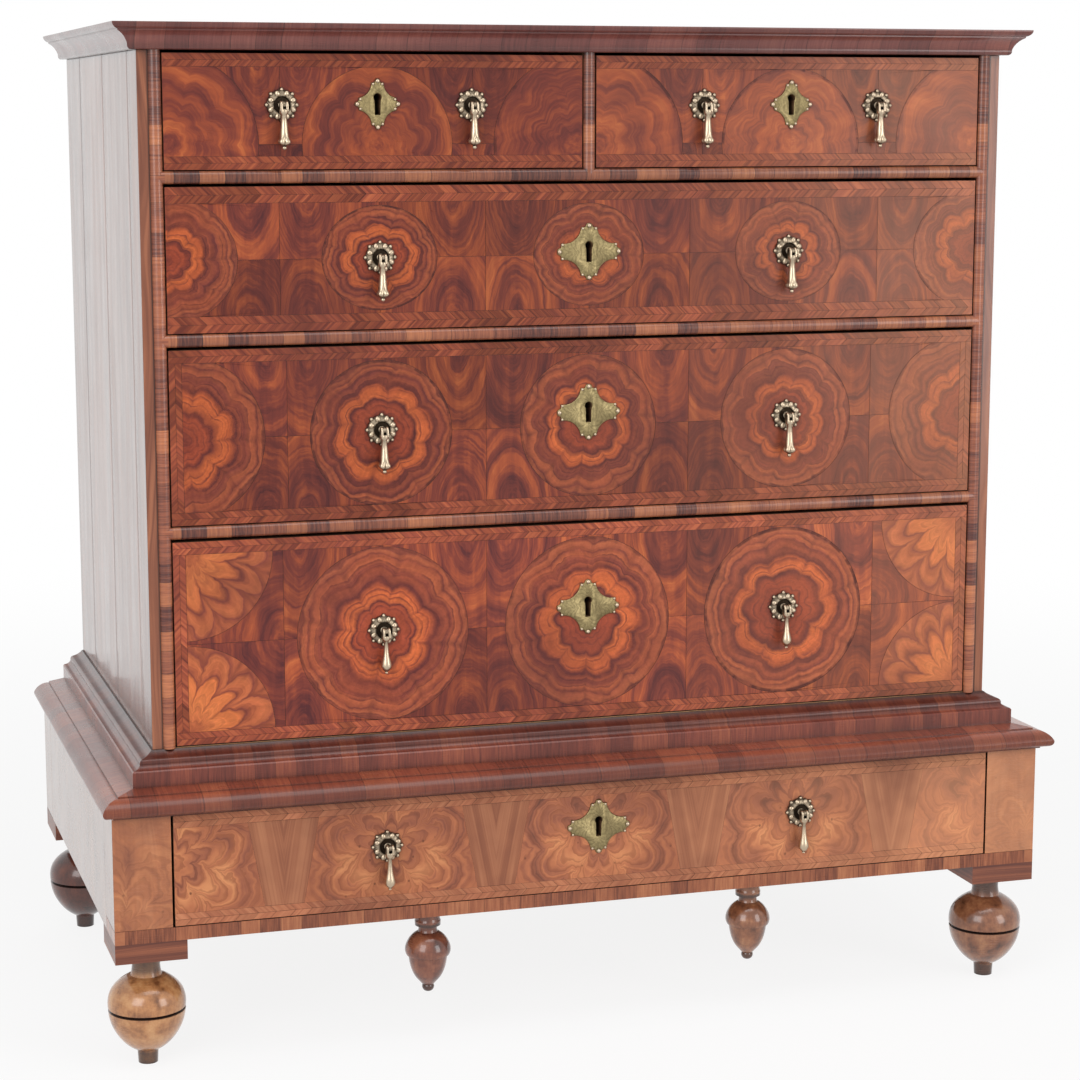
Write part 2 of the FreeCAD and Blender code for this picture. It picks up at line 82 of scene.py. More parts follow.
# %% Node sheet
class NodeSheet:
    def __init__(self, tree):
        self.tree = tree

    def add(self, kind, **settings):
        node = self.tree.nodes.new(kind)
        for key, value in settings.items():
            setattr(node, key, value)
        return node

    def wire(self, socket, value):
        if isinstance(value, bpy.types.NodeSocket):
            self.tree.links.new(value, socket)
        elif value is not None:
            socket.default_value = value

    def math(self, operation, a, b=None, c=None):
        node = self.add("ShaderNodeMath", operation=operation)
        for socket, value in zip(node.inputs, (a, b, c)):
            self.wire(socket, value)
        return node.outputs[0]

    def vector(self, operation, a, b=None, scale=None):
        node = self.add("ShaderNodeVectorMath", operation=operation)
        self.wire(node.inputs[0], a)
        self.wire(node.inputs[1], b)
        self.wire(node.inputs[3], scale)
        return node.outputs[1 if operation == "LENGTH" else 0]

    def parts(self, vector):
        node = self.add("ShaderNodeSeparateXYZ")
        self.wire(node.inputs[0], vector)
        return node.outputs

    def joined(self, x, y, z):
        node = self.add("ShaderNodeCombineXYZ")
        for socket, value in zip(node.inputs, (x, y, z)):
            self.wire(socket, value)
        return node.outputs[0]

    def noise(self, vector, scale=1.0, detail=2.0, roughness=0.5, output="Fac"):
        node = self.add("ShaderNodeTexNoise", noise_dimensions="3D")
        settings = {"Vector": vector, "Scale": scale, "Detail": detail, "Roughness": roughness}
        for label, value in settings.items():
            self.wire(node.inputs[label], value)
        return node.outputs[output]

    def chance(self, number):
        node = self.add("ShaderNodeTexWhiteNoise", noise_dimensions="1D")
        self.wire(node.inputs["W"], number)
        return node.outputs["Value"]

    def span(self, value, low, high, to_low=0.0, to_high=1.0, kind="SMOOTHSTEP"):
        node = self.add("ShaderNodeMapRange", interpolation_type=kind)
        for socket, number in zip(node.inputs, (value, low, high, to_low, to_high)):
            self.wire(socket, number)
        return node.outputs[0]

    def ramp(self, value, *stops):
        node = self.add("ShaderNodeValToRGB")
        steps = node.color_ramp.elements
        while len(steps) < len(stops):
            steps.new(0.5)
        for step, (place, colour) in zip(steps, stops):
            step.position = place
            step.color = colour
        self.wire(node.inputs[0], value)
        return node.outputs[0]

    def mix(self, share, a, b):
        node = self.add("ShaderNodeMix", data_type="RGBA")
        for socket, value in zip((node.inputs[0], node.inputs[6], node.inputs[7]), (share, a, b)):
            self.wire(socket, value)
        return node.outputs[2]

    def attribute(self, name, output="Vector"):
        node = self.add("ShaderNodeAttribute", attribute_name=name)
        return node.outputs[output]

    def group(self, tree, **values):
        node = self.add("ShaderNodeGroup", node_tree=tree)
        for label, value in values.items():
            self.wire(node.inputs[label], value)
        return node.outputs

    def patches(self, figure, along, across, detail, roughness=0.5):
        """Noise over a figure, whose third number is its seed."""
        return self.noise(self.vector("MULTIPLY", figure, (along, across, 1.0)), 1.0, detail, roughness)

    def swing(self, pattern, low, high):
        """From low to high as a noise goes from its usual least to its usual most."""
        return self.span(pattern, 0.25, 0.75, low, high, "LINEAR")

    def stir(self, level, pattern, strength):
        """A level moved up or down by how far a pattern is from its middle."""
        return self.math("MULTIPLY_ADD", self.math("SUBTRACT", pattern, 0.5), strength, level)

    def tint(self, wood, mask, strength, colour):
        """A wood mixed with a colour where the mask is."""
        return self.mix(self.math("MULTIPLY", mask, strength), wood, colour)

    def dim(self, wood, factor):
        """A wood made darker or lighter."""
        return self.vector("SCALE", wood, scale=factor)


def new_group(name, inputs, outputs):
    tree = bpy.data.node_groups.new(name, "ShaderNodeTree")
    for label, kind, value in inputs:
        socket = tree.interface.new_socket(label, in_out="INPUT", socket_type="NodeSocket" + kind)
        if value is not None:
            socket.default_value = value
    for label, kind in outputs:
        tree.interface.new_socket(label, in_out="OUTPUT", socket_type="NodeSocket" + kind)
    sheet = NodeSheet(tree)
    entry = sheet.add("NodeGroupInput")
    ending = sheet.add("NodeGroupOutput")
    return tree, sheet, entry.outputs, ending.inputs


print("node sheet ready")

# %% [markdown]
# ## Rings of a branch
# An oyster's rings are not round: the branch grew in flutes, so every ring is scalloped like a
# flower, with broad dark and light years and thin lines between them. A wood texture image would
# repeat. Sums on the distance from the heart give every slice its own rings, and a seed moves
# each slice to another part of the same noise. A smaller group darkens the rim, where some slices
# still end in a broken line of bark.


# %% Ring group
def make_ring_group():
    tree, s, given, out = new_group(
        "Branch rings",
        [("Figure", "Vector", None), ("Reach", "Float", 80.0), ("Years", "Float", 11.0),
         ("Scallops", "Float", 9.0), ("Flute", "Float", 0.14), ("Wander", "Float", 8.0)],
        [("Share", "Float"), ("Line", "Float"), ("Fibre", "Float"), ("Ray", "Float"), ("Crease", "Float")],
    )
    figure = given["Figure"]
    seed = s.parts(figure)[2]
    push = s.noise(s.vector("MULTIPLY", figure, (0.022, 0.022, 1.0)), 1.0, 4.0, 0.55, "Color")
    push = s.vector("SCALE", s.vector("SUBTRACT", push, (0.5, 0.5, 0.5)), scale=given["Wander"])
    moved = s.parts(s.vector("ADD", figure, push))
    radius = s.vector("LENGTH", s.joined(moved[0], moved[1], 0.0))
    turn = s.math("ARCTAN2", moved[1], moved[0])
    lobe = s.math("MULTIPLY_ADD", turn, s.math("MULTIPLY", given["Scallops"], 0.5), seed)
    lobe = s.math("ABSOLUTE", s.math("SINE", lobe))
    swell = s.math("MULTIPLY", s.math("SUBTRACT", lobe, 0.62), given["Flute"])
    swell = s.math("MULTIPLY", swell, s.span(radius, 3.0, 20.0))
    swell = s.math("MULTIPLY", swell, s.span(s.math("DIVIDE", radius, given["Reach"]), 0.55, 1.0, 1.0, 0.45))
    share = s.math("DIVIDE", s.math("DIVIDE", radius, s.math("ADD", swell, 1.0)), given["Reach"])
    drift = s.noise(s.joined(s.math("MULTIPLY", share, 5.0), seed, 0.0), 1.0, 1.0)
    share = s.stir(share, drift, 0.16)
    years = s.math("MULTIPLY", share, given["Years"])
    within = s.math("FRACT", years)
    line = s.math("MULTIPLY", s.span(within, 0.5, 0.95), s.span(within, 0.95, 1.0, 1.0, 0.0))
    fibre = s.joined(s.math("MULTIPLY", years, 3.5), s.math("MULTIPLY", turn, 1.3), seed)
    spokes = s.joined(s.math("MULTIPLY", turn, 15.0), s.math("MULTIPLY", radius, 0.05), seed)
    s.wire(out["Share"], share)
    s.wire(out["Line"], line)
    s.wire(out["Fibre"], s.noise(fibre, 1.0, 3.0, 0.6))
    s.wire(out["Ray"], s.noise(spokes, 1.0, 3.0, 0.6))
    s.wire(out["Crease"], s.math("MULTIPLY", s.span(lobe, 0.0, 0.3, 1.0, 0.0), s.span(share, 0.2, 0.5)))
    return tree


def make_bark_group():
    """A dark, broken rim where the slice ends at the bark. Some slices keep more of it than others."""
    tree, s, given, out = new_group(
        "Bark edge", [("Figure", "Vector", None), ("Reach", "Float", 80.0)], [("Edge", "Float")]
    )
    x, y, seed = s.parts(given["Figure"])
    flat = s.joined(x, y, 0.0)
    share = s.math("DIVIDE", s.vector("LENGTH", flat), given["Reach"])
    round_rim = s.vector("ADD", s.vector("NORMALIZE", flat), s.joined(0.0, 0.0, seed))
    chips = s.span(s.noise(round_rim, 5.0, 3.0, 0.6), 0.42, 0.6, 0.25, 1.0)
    kept = s.math("MULTIPLY", s.span(s.chance(seed), 0.0, 1.0, 0.15, 0.85, "LINEAR"), chips)
    s.wire(out["Edge"], s.math("MULTIPLY", s.span(share, 0.955, 0.975), kept))
    return tree


RINGS = make_ring_group()
BARK = make_bark_group()
print("ring group:", len(RINGS.nodes), "nodes, bark group:", len(BARK.nodes))

# %% [markdown]
# ## Straight grain
# Boards and bands show long fibres instead: streaks drawn out along the grain, with short dark
# pores. The group takes a place whose first number runs along the grain, in millimetres.


# %% Grain group
def make_grain_group():
    tree, s, given, out = new_group(
        "Long grain",
        [("Figure", "Vector", None), ("Width", "Float", 6.0), ("Sway", "Float", 10.0)],
        [("Streak", "Float"), ("Pore", "Float")],
    )
    figure = given["Figure"]
    place = s.parts(figure)
    across = s.stir(place[1], s.patches(figure, 0.0025, 0.01, 2.0), given["Sway"])
    across = s.math("DIVIDE", across, given["Width"])
    along = s.math("MULTIPLY", place[0], 0.0018)
    broad = s.noise(s.joined(along, across, place[2]), 1.0, 3.0, 0.55)
    fibres = s.joined(s.math("MULTIPLY", along, 4.0), s.math("MULTIPLY", across, 6.0), place[2])
    fine = s.noise(fibres, 1.0, 2.0)
    streak = s.math("MULTIPLY_ADD", fine, 0.35, s.math("MULTIPLY", broad, 0.65))
    s.wire(out["Streak"], s.span(streak, 0.30, 0.70))
    pores = s.joined(s.math("MULTIPLY", place[0], 0.12), s.math("MULTIPLY", place[1], 1.4), place[2])
    s.wire(out["Pore"], s.span(s.noise(pores, 1.0, 1.0), 0.66, 0.74))
    return tree


GRAIN = make_grain_group()
print("grain group:", len(GRAIN.nodes), "nodes")

# %% [markdown]
# ## Old polish
# Three centuries of wax leave a skin that is never even: faint cloudy patches, fine scratches
# and a slow ripple where the boards under the veneer have moved. Every polished wood uses this
# group for its roughness and its bump height. It also paints shade into every corner and recess,
# which ambient occlusion finds: it asks how much of the room a point can see.

# %% Polish group
# How far the painted shade in corners reaches, in metres.
CORNER_REACH = 0.012


def make_polish_group():
    tree, s, given, out = new_group(
        "Old polish",
        [("Place", "Vector", None), ("Least", "Float", 0.22), ("Most", "Float", 0.38),
         ("Corner", "Float", CORNER_REACH)],
        [("Roughness", "Float"), ("Ripple", "Float"), ("Grime", "Float"), ("Painted Shade", "Float")],
    )
    cloud = s.noise(given["Place"], 14.0, 3.0, 0.6)
    scratch = s.noise(s.vector("MULTIPLY", given["Place"], (90.0, 90.0, 900.0)), 1.0, 2.0, 0.6)
    dull = s.math("MULTIPLY_ADD", scratch, 0.35, s.math("MULTIPLY", cloud, 0.65))
    s.wire(out["Roughness"], s.span(dull, 0.3, 0.7, given["Least"], given["Most"], "LINEAR"))
    s.wire(out["Ripple"], s.noise(given["Place"], 11.0, 1.0))
    s.wire(out["Grime"], s.span(s.noise(given["Place"], 5.0, 4.0, 0.65), 0.45, 0.75))
    # Painted shade: ambient occlusion darkens every corner and recess.
    open_share = s.add("ShaderNodeAmbientOcclusion", samples=4)
    s.wire(open_share.inputs["Distance"], given["Corner"])
    s.wire(out["Painted Shade"], s.span(open_share.outputs["AO"], 0.35, 0.85, 1.0, 0.0))
    return tree


POLISH = make_polish_group()
print("polish group:", len(POLISH.nodes), "nodes")

# %% [markdown]
# ## The start of every material
# A finish here is one Principled shader under a few sums. What is the same all over a surface, such
# as how rough its coat is, is a plain number on the shader. What changes from place to place is
# wired to it: the colour, the roughness and a small bump. Grime in soft clouds and painted shade in
# the corners come last, over the colour of any wood.

# %% Start of a finish
# Dark colour for painted shade in corners and beside beads, and for dark joints between boards.
JOINT_AND_SHADE = paint(34, 20, 18)
GLUE = paint(58, 28, 24)


def new_finish(name, roughness=0.4, coat=0.0, coat_roughness=0.1, coat_ior=1.5, metallic=0.0, specular=0.5):
    material = bpy.data.materials.new(name)
    material.use_nodes = True
    sheet = NodeSheet(material.node_tree)
    skin = material.node_tree.nodes["Principled BSDF"].inputs
    skin["Roughness"].default_value = roughness
    skin["Metallic"].default_value = metallic
    skin["Coat Weight"].default_value = coat
    skin["Coat Roughness"].default_value = coat_roughness
    skin["Coat IOR"].default_value = coat_ior
    skin["Specular IOR Level"].default_value = specular
    return material, sheet, skin


def raise_bump(sheet, skin, height, distance, strength=1.0):
    bump = sheet.add("ShaderNodeBump")
    bump.inputs["Strength"].default_value = strength
    bump.inputs["Distance"].default_value = distance
    sheet.wire(bump.inputs["Height"], height)
    sheet.wire(skin["Normal"], bump.outputs[0])


def object_place(sheet):
    return sheet.add("ShaderNodeTexCoord").outputs["Object"]


def place_in_mm(sheet):
    return sheet.vector("SCALE", object_place(sheet), scale=1 / MM)


def facing(sheet):
    """The direction that a face looks in."""
    return sheet.add("ShaderNodeNewGeometry").outputs["Normal"]


def polish_over(sheet, skin, least, most, ripple=0.0006, corner=CORNER_REACH):
    polish = sheet.group(POLISH, Place=object_place(sheet), Least=least, Most=most, Corner=corner)
    sheet.wire(skin["Roughness"], polish["Roughness"])
    raise_bump(sheet, skin, polish["Ripple"], ripple)
    return polish


def grime_and_shade(sheet, skin, polish, wood, grime_colour, share=0.35):
    """Grime in clouds over the whole face, and painted shade in the corners."""
    wood = sheet.tint(wood, polish["Grime"], share, grime_colour)
    # Painted shade: corners and recesses darkened by ambient occlusion.
    sheet.wire(skin["Base Color"], sheet.tint(wood, polish["Painted Shade"], 0.85, JOINT_AND_SHADE))


print("soot is", [round(part, 3) for part in JOINT_AND_SHADE[:3]])

# %% [markdown]
# ## Veneer finishes
# Each leaf of veneer carries its own values on its corners. "figure" is the place in the leaf,
# measured from the heart of its rings, and its third number is a seed. "tone" says how dark the
# leaf is, and "fade_and_glare" how much paler it is painted towards the right end: sun fade, and
# painted light for the glare there. "reach", "scallops", "flute" and "heart" say how its slice was
# cut. So a few finishes serve every leaf, and no two leaves look the same.

# %% What all veneers share
# Pale colour that leaves turn to towards the right end: sun fade, and painted light for the glare there.
HONEY = paint(214, 152, 112)


def new_veneer(name):
    return new_finish(name, coat=0.06, coat_roughness=0.12, specular=0.16)


def leaf_rings(sheet, wander, **values):
    """Rings with the leaf's own scallops."""
    return sheet.group(RINGS, Figure=sheet.attribute("figure"), Scallops=sheet.attribute("scallops", "Fac"),
                       Flute=sheet.attribute("flute", "Fac"), Wander=wander, **values)


def ring_bands(sheet, share, seed, count):
    """Broad dark and light years that follow the rings."""
    return sheet.noise(sheet.joined(sheet.math("MULTIPLY", share, count), seed, 0.0), 1.0, 3.0, 0.6)


def toned(sheet, wood, *factors):
    """The colour times the leaf's own tone and any further factors, then paler towards the right end: sun
    fade, and painted light for the glare there.
    """
    for factor in (sheet.attribute("tone", "Fac"), *factors):
        wood = sheet.dim(wood, factor)
    return sheet.mix(sheet.attribute("fade_and_glare", "Fac"), wood, HONEY)


def barked(sheet, wood):
    """The colour with the dark rim of its slice."""
    bark = sheet.group(BARK, Figure=sheet.attribute("figure"), Reach=sheet.attribute("reach", "Fac"))
    return sheet.mix(bark["Edge"], wood, paint(58, 27, 27))


def veneer_polish(sheet, skin, wood, corner=CORNER_REACH):
    grime_and_shade(sheet, skin, polish_over(sheet, skin, 0.26, 0.42, corner=corner), wood, paint(84, 43, 41), 0.5)


print("bleached walnut is", [round(part, 3) for part in HONEY[:3]])

# %% [markdown]
# An oyster is cut straight across the branch, so a ramp from its heart to its bark gives it a dark
# heart, a bright flower and a calmer rim. Leaves between the oysters are cut along the branch, and
# their years become wavy bands. The fans in the corners of the lowest front are oysters whose
# flutes are so deep that they read as petals.


# %% Oysters, leaves and fans
def oyster_finish():
    material, s, skin = new_veneer("oyster_walnut")
    figure = s.attribute("figure")
    rings = leaf_rings(s, 24.0, Reach=s.attribute("reach", "Fac"))
    lean = s.span(s.chance(s.parts(figure)[2]), 0.0, 1.0, 0.75, 1.3, "LINEAR")
    zone = s.math("POWER", s.math("MAXIMUM", rings["Share"], 0.0), lean)
    wood = s.ramp(zone, (0.0, paint(92, 40, 36)), (0.14, paint(130, 57, 39)), (0.31, paint(142, 64, 42)),
                  (0.38, paint(78, 34, 34)), (0.44, paint(184, 93, 51)), (0.57, paint(166, 81, 47)),
                  (0.63, paint(82, 37, 36)), (0.70, paint(132, 65, 46)), (0.76, paint(104, 49, 42)),
                  (0.83, paint(152, 79, 51)), (0.90, paint(124, 62, 45)), (0.96, paint(150, 80, 53)),
                  (1.0, paint(120, 61, 46)))
    broken = s.span(s.patches(figure, 0.05, 0.05, 2.0), 0.35, 0.6, 0.2, 0.7)
    wood = s.tint(wood, rings["Line"], broken, paint(76, 34, 35))
    wood = s.tint(wood, rings["Crease"], 0.35, paint(84, 40, 35))
    patch = s.span(s.patches(figure, 0.03, 0.03, 3.0), 0.4, 0.7)
    wood = s.tint(wood, patch, 0.4, paint(134, 64, 43))
    wood = s.dim(wood, s.swing(s.patches(figure, 0.3, 0.3, 3.0, 0.6), 0.86, 1.14))
    wood = toned(s, wood, s.swing(rings["Fibre"], 0.80, 1.20), s.swing(rings["Ray"], 0.86, 1.14))
    veneer_polish(s, skin, barked(s, wood))
    return material


def leaf_finish():
    material, s, skin = new_veneer("leaf_walnut")
    figure = s.attribute("figure")
    rings = leaf_rings(s, 22.0, Reach=100.0, Years=9.0)
    level = ring_bands(s, rings["Share"], s.parts(figure)[2], 4.5)
    level = s.stir(level, rings["Fibre"], 0.45)
    level = s.stir(level, s.patches(figure, 0.045, 0.012, 3.0, 0.6), 0.5)
    near_heart = s.span(rings["Share"], 0.05, 0.8, 1.0, 0.0)
    level = s.math("MULTIPLY_ADD", near_heart, s.attribute("heart", "Fac"), level)
    wood = s.ramp(level, (0.22, paint(74, 35, 37)), (0.45, paint(113, 53, 43)), (0.62, paint(150, 74, 47)),
                  (0.85, paint(190, 105, 60)))
    wood = s.tint(wood, rings["Line"], 0.15, paint(78, 38, 38))
    veneer_polish(s, skin, barked(s, toned(s, wood)))
    return material


def fan_finish():
    """The rings run out in a few long petals, light inside and dark round the edge."""
    material, s, skin = new_veneer("fan_walnut")
    rings = leaf_rings(s, 26.0, Reach=s.attribute("reach", "Fac"), Years=7.0)
    wood = s.ramp(rings["Share"], (0.0, paint(138, 71, 46)), (0.36, paint(180, 102, 58)),
                  (0.54, paint(172, 93, 53)), (0.61, paint(102, 50, 41)), (0.68, paint(148, 78, 50)),
                  (0.84, paint(162, 89, 55)), (0.91, paint(108, 53, 43)), (1.0, paint(144, 76, 50)))
    wood = s.tint(wood, rings["Crease"], 0.5, paint(96, 46, 37))
    wood = s.tint(wood, rings["Line"], 0.2, paint(84, 40, 34))
    wood = toned(s, wood, s.swing(rings["Fibre"], 0.8, 1.18), s.swing(rings["Ray"], 0.8, 1.2))
    veneer_polish(s, skin, wood)
    return material


OYSTER = oyster_finish()
LEAF = leaf_finish()
FAN = fan_finish()
print("ringed veneers:", [finish.name for finish in (OYSTER, LEAF, FAN)])

# %% [markdown]
# Narrow bands and the plain wedges of the stand show straight grain. Burr grows in lobed curls
# round many small hearts, with dark eyes here and there. The posts of the stand show it too, so it
# is a group. The stand's front lies under a deep nosing, and the painted shade reaches further down on it.

# %% Feather bands and burr
# Painted shade under the stand's nosing reaches further down its front.
NOSING_SHADE_REACH = 0.03


def feather_finish(name, dark, mid, light, width=3.0, sway=3.0, corner=CORNER_REACH):
    material, s, skin = new_veneer(name)
    grain = s.group(GRAIN, Figure=s.attribute("figure"), Width=width, Sway=sway)
    wood = s.ramp(grain["Streak"], (0.0, dark), (0.5, mid), (1.0, light))
    veneer_polish(s, skin, toned(s, wood), corner)
    return material


def make_burr_group():
    """Lobed curls round a heart, calmer and straighter wood further out."""
    tree, s, given, out = new_group("Burr curls", [("Figure", "Vector", None)], [("Wood", "Color")])
    figure = given["Figure"]
    rings = s.group(RINGS, Figure=figure, Reach=70.0, Years=6.0, Scallops=9.0, Flute=0.5, Wander=40.0)
    curl = s.span(rings["Share"], 1.1, 1.45, 1.0, 0.3)
    cloud = s.patches(figure, 0.02, 0.02, 3.0, 0.55)
    level = s.stir(0.5, ring_bands(s, rings["Share"], s.parts(figure)[2], 4.0), curl)
    level = s.stir(level, rings["Fibre"], 0.35)
    level = s.stir(level, cloud, 1.0)
    wood = s.ramp(level, (0.22, paint(100, 60, 50)), (0.40, paint(150, 90, 68)), (0.58, paint(182, 112, 77)),
                  (0.80, paint(214, 145, 98)))
    wood = s.tint(wood, s.math("MULTIPLY", rings["Line"], curl), 0.4, paint(112, 60, 42))
    eyes = s.add("ShaderNodeTexVoronoi")
    s.wire(eyes.inputs["Vector"], s.vector("MULTIPLY", figure, (0.07, 0.07, 1.0)))
    s.wire(eyes.inputs["Scale"], 1.0)
    near_eye = s.span(eyes.outputs["Distance"], 0.05, 0.13, 1.0, 0.0)
    eye = s.math("MULTIPLY", near_eye, s.span(cloud, 0.48, 0.54))
    s.wire(out["Wood"], s.tint(wood, eye, 0.7, paint(70, 38, 30)))
    return tree


BURR_CURLS = make_burr_group()


def burr_finish():
    material, s, skin = new_finish("burr_walnut", coat=0.08, coat_roughness=0.14, specular=0.18)
    wood = s.group(BURR_CURLS, Figure=s.attribute("figure"))["Wood"]
    polish = polish_over(s, skin, 0.28, 0.44, corner=NOSING_SHADE_REACH)
    grime_and_shade(s, skin, polish, toned(s, wood), paint(124, 72, 48))
    return material


FEATHER = feather_finish("feather_walnut", paint(94, 44, 37), paint(132, 65, 46), paint(160, 86, 56))
PALE_FEATHER = feather_finish("pale_feather_walnut", paint(156, 95, 70), paint(176, 111, 80),
                              paint(192, 128, 94), corner=NOSING_SHADE_REACH)
CALM = feather_finish("calm_walnut", paint(142, 88, 66), paint(168, 108, 79), paint(188, 127, 93),
                      width=11.0, sway=16.0, corner=NOSING_SHADE_REACH)
BURR = burr_finish()
print("other veneers:", [finish.name for finish in (FEATHER, PALE_FEATHER, CALM, BURR)])

# %% [markdown]
# ## Board finishes
# Boards that the packed model already shapes keep its mesh, and get a finish that finds its own
# grain: the direction that a face looks in picks which two axes run along and across it. One
# maker of board finishes serves pine, oak and plain walnut, and "upright" boards run their grain
# along Z. The face that looks forward can have a look of its own: dark glue where veneer will
# cover it, a strip of edging, or a leaf of burr.


# %% Board maker
def board_figure(sheet, upright):
    """Place along and across the grain, in millimetres, for a face that looks along any axis."""
    x, y, z = sheet.parts(place_in_mm(sheet))
    looks = sheet.parts(sheet.vector("ABSOLUTE", facing(sheet)))
    to_side = sheet.math("GREATER_THAN", looks[0], 0.6)
    to_top = sheet.math("GREATER_THAN", looks[2], 0.6)
    if upright:
        front, side, top = sheet.joined(z, x, 0.0), sheet.joined(z, y, 0.0), sheet.joined(x, y, 0.0)
    else:
        front, side, top = sheet.joined(x, z, 0.0), sheet.joined(y, z, 0.0), sheet.joined(y, x, 0.0)
    return sheet.mix(to_top, sheet.mix(to_side, front, side), top)


def board_finish(name, dark, mid, light, upright=False, width=9.0, sway=40.0, polish=(0.5, 0.65), coat=0.0,
                 coat_ior=1.5, specular=0.35, leaf=0.0, shift=0.0, joint=0.7, ripple=0.0004, wave=22.0,
                 mottle=0.0, side_tone=1.0, front=None, front_coat=None):
    """leaf is the width of one leaf or board where several lie side by side, 0 for a single one.

    wave is the width of the hollows in an old board, side_tone how bright its left and right faces
    are. front is the colour of the face that looks forward, or a function that makes it, and
    front_coat how strong the coat is there."""
    material, s, skin = new_finish(name, coat=coat, coat_ior=coat_ior, specular=specular)
    figure = board_figure(s, upright)
    grain = s.group(GRAIN, Figure=figure, Width=width, Sway=sway)
    level = grain["Streak"]
    if mottle:
        level = s.span(level, 0.0, 1.0, 0.25, 0.75, "LINEAR")
        level = s.stir(level, s.patches(figure, 0.02, 0.03, 4.0, 0.6), mottle)
    wood = s.ramp(level, (0.0, dark), (0.5, mid), (1.0, light))
    wood = s.tint(wood, grain["Pore"], 0.5, dark)
    height = s.patches(figure, 0.0025, 1 / wave, 2.0)
    if leaf:
        number = s.math("DIVIDE", s.math("ADD", s.parts(figure)[1], shift), leaf)
        within = s.math("FRACT", number)
        tone = s.chance(s.math("SUBTRACT", number, within))
        wood = s.dim(wood, s.span(tone, 0.0, 1.0, 0.82, 1.12, "LINEAR"))
        seam = s.math("MULTIPLY", s.math("MINIMUM", within, s.math("SUBTRACT", 1.0, within)), leaf)
        wood = s.mix(s.span(seam, 0.25, 0.25 + joint, 0.7, 0.0), wood, JOINT_AND_SHADE)
        height = s.math("MULTIPLY_ADD", s.span(seam, 0.0, 9.0), 0.5, height)
    if side_tone != 1.0:
        aside = s.math("ABSOLUTE", s.parts(facing(s))[0])
        wood = s.dim(wood, s.span(aside, 0.5, 0.7, 1.0, side_tone))
    if front:
        forward = s.math("LESS_THAN", s.parts(facing(s))[1], -0.6)
        cover = front(s, wood, grain["Streak"]) if callable(front) else front
        wood = s.mix(forward, wood, cover)
        if front_coat is not None:
            s.wire(skin["Coat Weight"], s.span(forward, 0.0, 1.0, coat, front_coat, "LINEAR"))
    polished = s.group(POLISH, Place=object_place(s), Least=polish[0], Most=polish[1])
    grime_and_shade(s, skin, polished, wood, dark)
    s.wire(skin["Roughness"], polished["Roughness"])
    raise_bump(s, skin, height, ripple)
    return material


PINE_TONES = paint(116, 80, 52), paint(156, 114, 76), paint(182, 142, 100)
PINE = board_finish("carcass_pine", *PINE_TONES, width=14.0)
OAK = board_finish("drawer_oak", paint(104, 74, 50), paint(146, 108, 74), paint(174, 136, 98), width=5.0)
print("plain boards:", PINE.name, OAK.name)

# %% [markdown]
# The sides of the chest are veneered with a few wide leaves, and their front edges with a redder
# strip that has lost its gloss; a dark line of painted shade runs where the bead starts. The stand's
# posts carry burr, which is painted paler at the right: sun fade, and painted light where more
# light falls. Drawer fronts are dark with glue under the veneer.

# %% Boards with a front
BACK_BOARDS = 5
bead_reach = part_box("drawer_opening_beads")[1].x / MM
post_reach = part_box("stand_posts")[1].x / MM
stand_front_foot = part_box("stand_drawer_front")[0].z / MM
back_low, back_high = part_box("chest_back_boards")
back_board = (back_high.x - back_low.x) / MM / BACK_BOARDS


def edge_strip(sheet, wood, streak):
    """A redder strip instead of the board's own wood, and a dark line of painted shade where the bead starts.
    """
    strip = sheet.ramp(streak, (0.0, paint(92, 50, 38)), (0.5, paint(138, 84, 61)),
                       (1.0, paint(172, 110, 78)))
    from_middle = sheet.math("ABSOLUTE", sheet.parts(place_in_mm(sheet))[0])
    past_bead = sheet.math("SUBTRACT", from_middle, bead_reach)
    # Painted shade: a dark line in the crease beside the bead.
    return sheet.mix(sheet.span(past_bead, 0.6, 2.2, 0.8, 0.0), strip, JOINT_AND_SHADE)


def burr_leaf(sheet, wood, streak):
    """Burr round the post's outer foot, mirrored from post to post."""
    x, _, z = sheet.parts(place_in_mm(sheet))
    at_right = sheet.math("GREATER_THAN", x, 0.0)
    seed = sheet.math("MULTIPLY_ADD", at_right, 0.2, 17.0)
    figure = sheet.joined(sheet.math("SUBTRACT", sheet.math("ABSOLUTE", x), post_reach),
                          sheet.math("SUBTRACT", z, stand_front_foot), seed)
    figured = sheet.mix(0.5, wood, sheet.group(BURR_CURLS, Figure=figure)["Wood"])
    # The right post is painted paler: sun fade, and painted light where more light falls.
    return sheet.tint(figured, at_right, 0.35, HONEY)


SIDE_WALNUT = board_finish("figured_walnut", paint(96, 54, 40), paint(128, 75, 53), paint(152, 93, 65),
                           upright=True, width=24.0, sway=90.0, polish=(0.14, 0.24), coat=0.5, leaf=182.0,
                           ripple=0.003, wave=75.0, front=edge_strip, front_coat=0.08)
STAND_WALNUT = board_finish("stand_walnut", paint(122, 74, 52), paint(170, 109, 72), paint(202, 142, 100),
                            upright=True, width=30.0, sway=120.0, polish=(0.2, 0.32), coat=0.9, coat_ior=1.3,
                            specular=0.2, mottle=1.6, side_tone=0.55, front=burr_leaf)
BLOCK_WALNUT = board_finish("block_walnut", paint(84, 44, 36), paint(118, 66, 48), paint(146, 86, 60),
                            width=8.0, sway=30.0, polish=(0.28, 0.42), coat=0.15)
FRONT_PINE = board_finish("front_pine", *PINE_TONES, width=14.0, front=GLUE)
BACK_PINE = board_finish("back_pine", paint(104, 70, 48), paint(142, 102, 70), paint(168, 128, 92),
                         upright=True, width=14.0, leaf=back_board, shift=back_board / 2, joint=2.5)
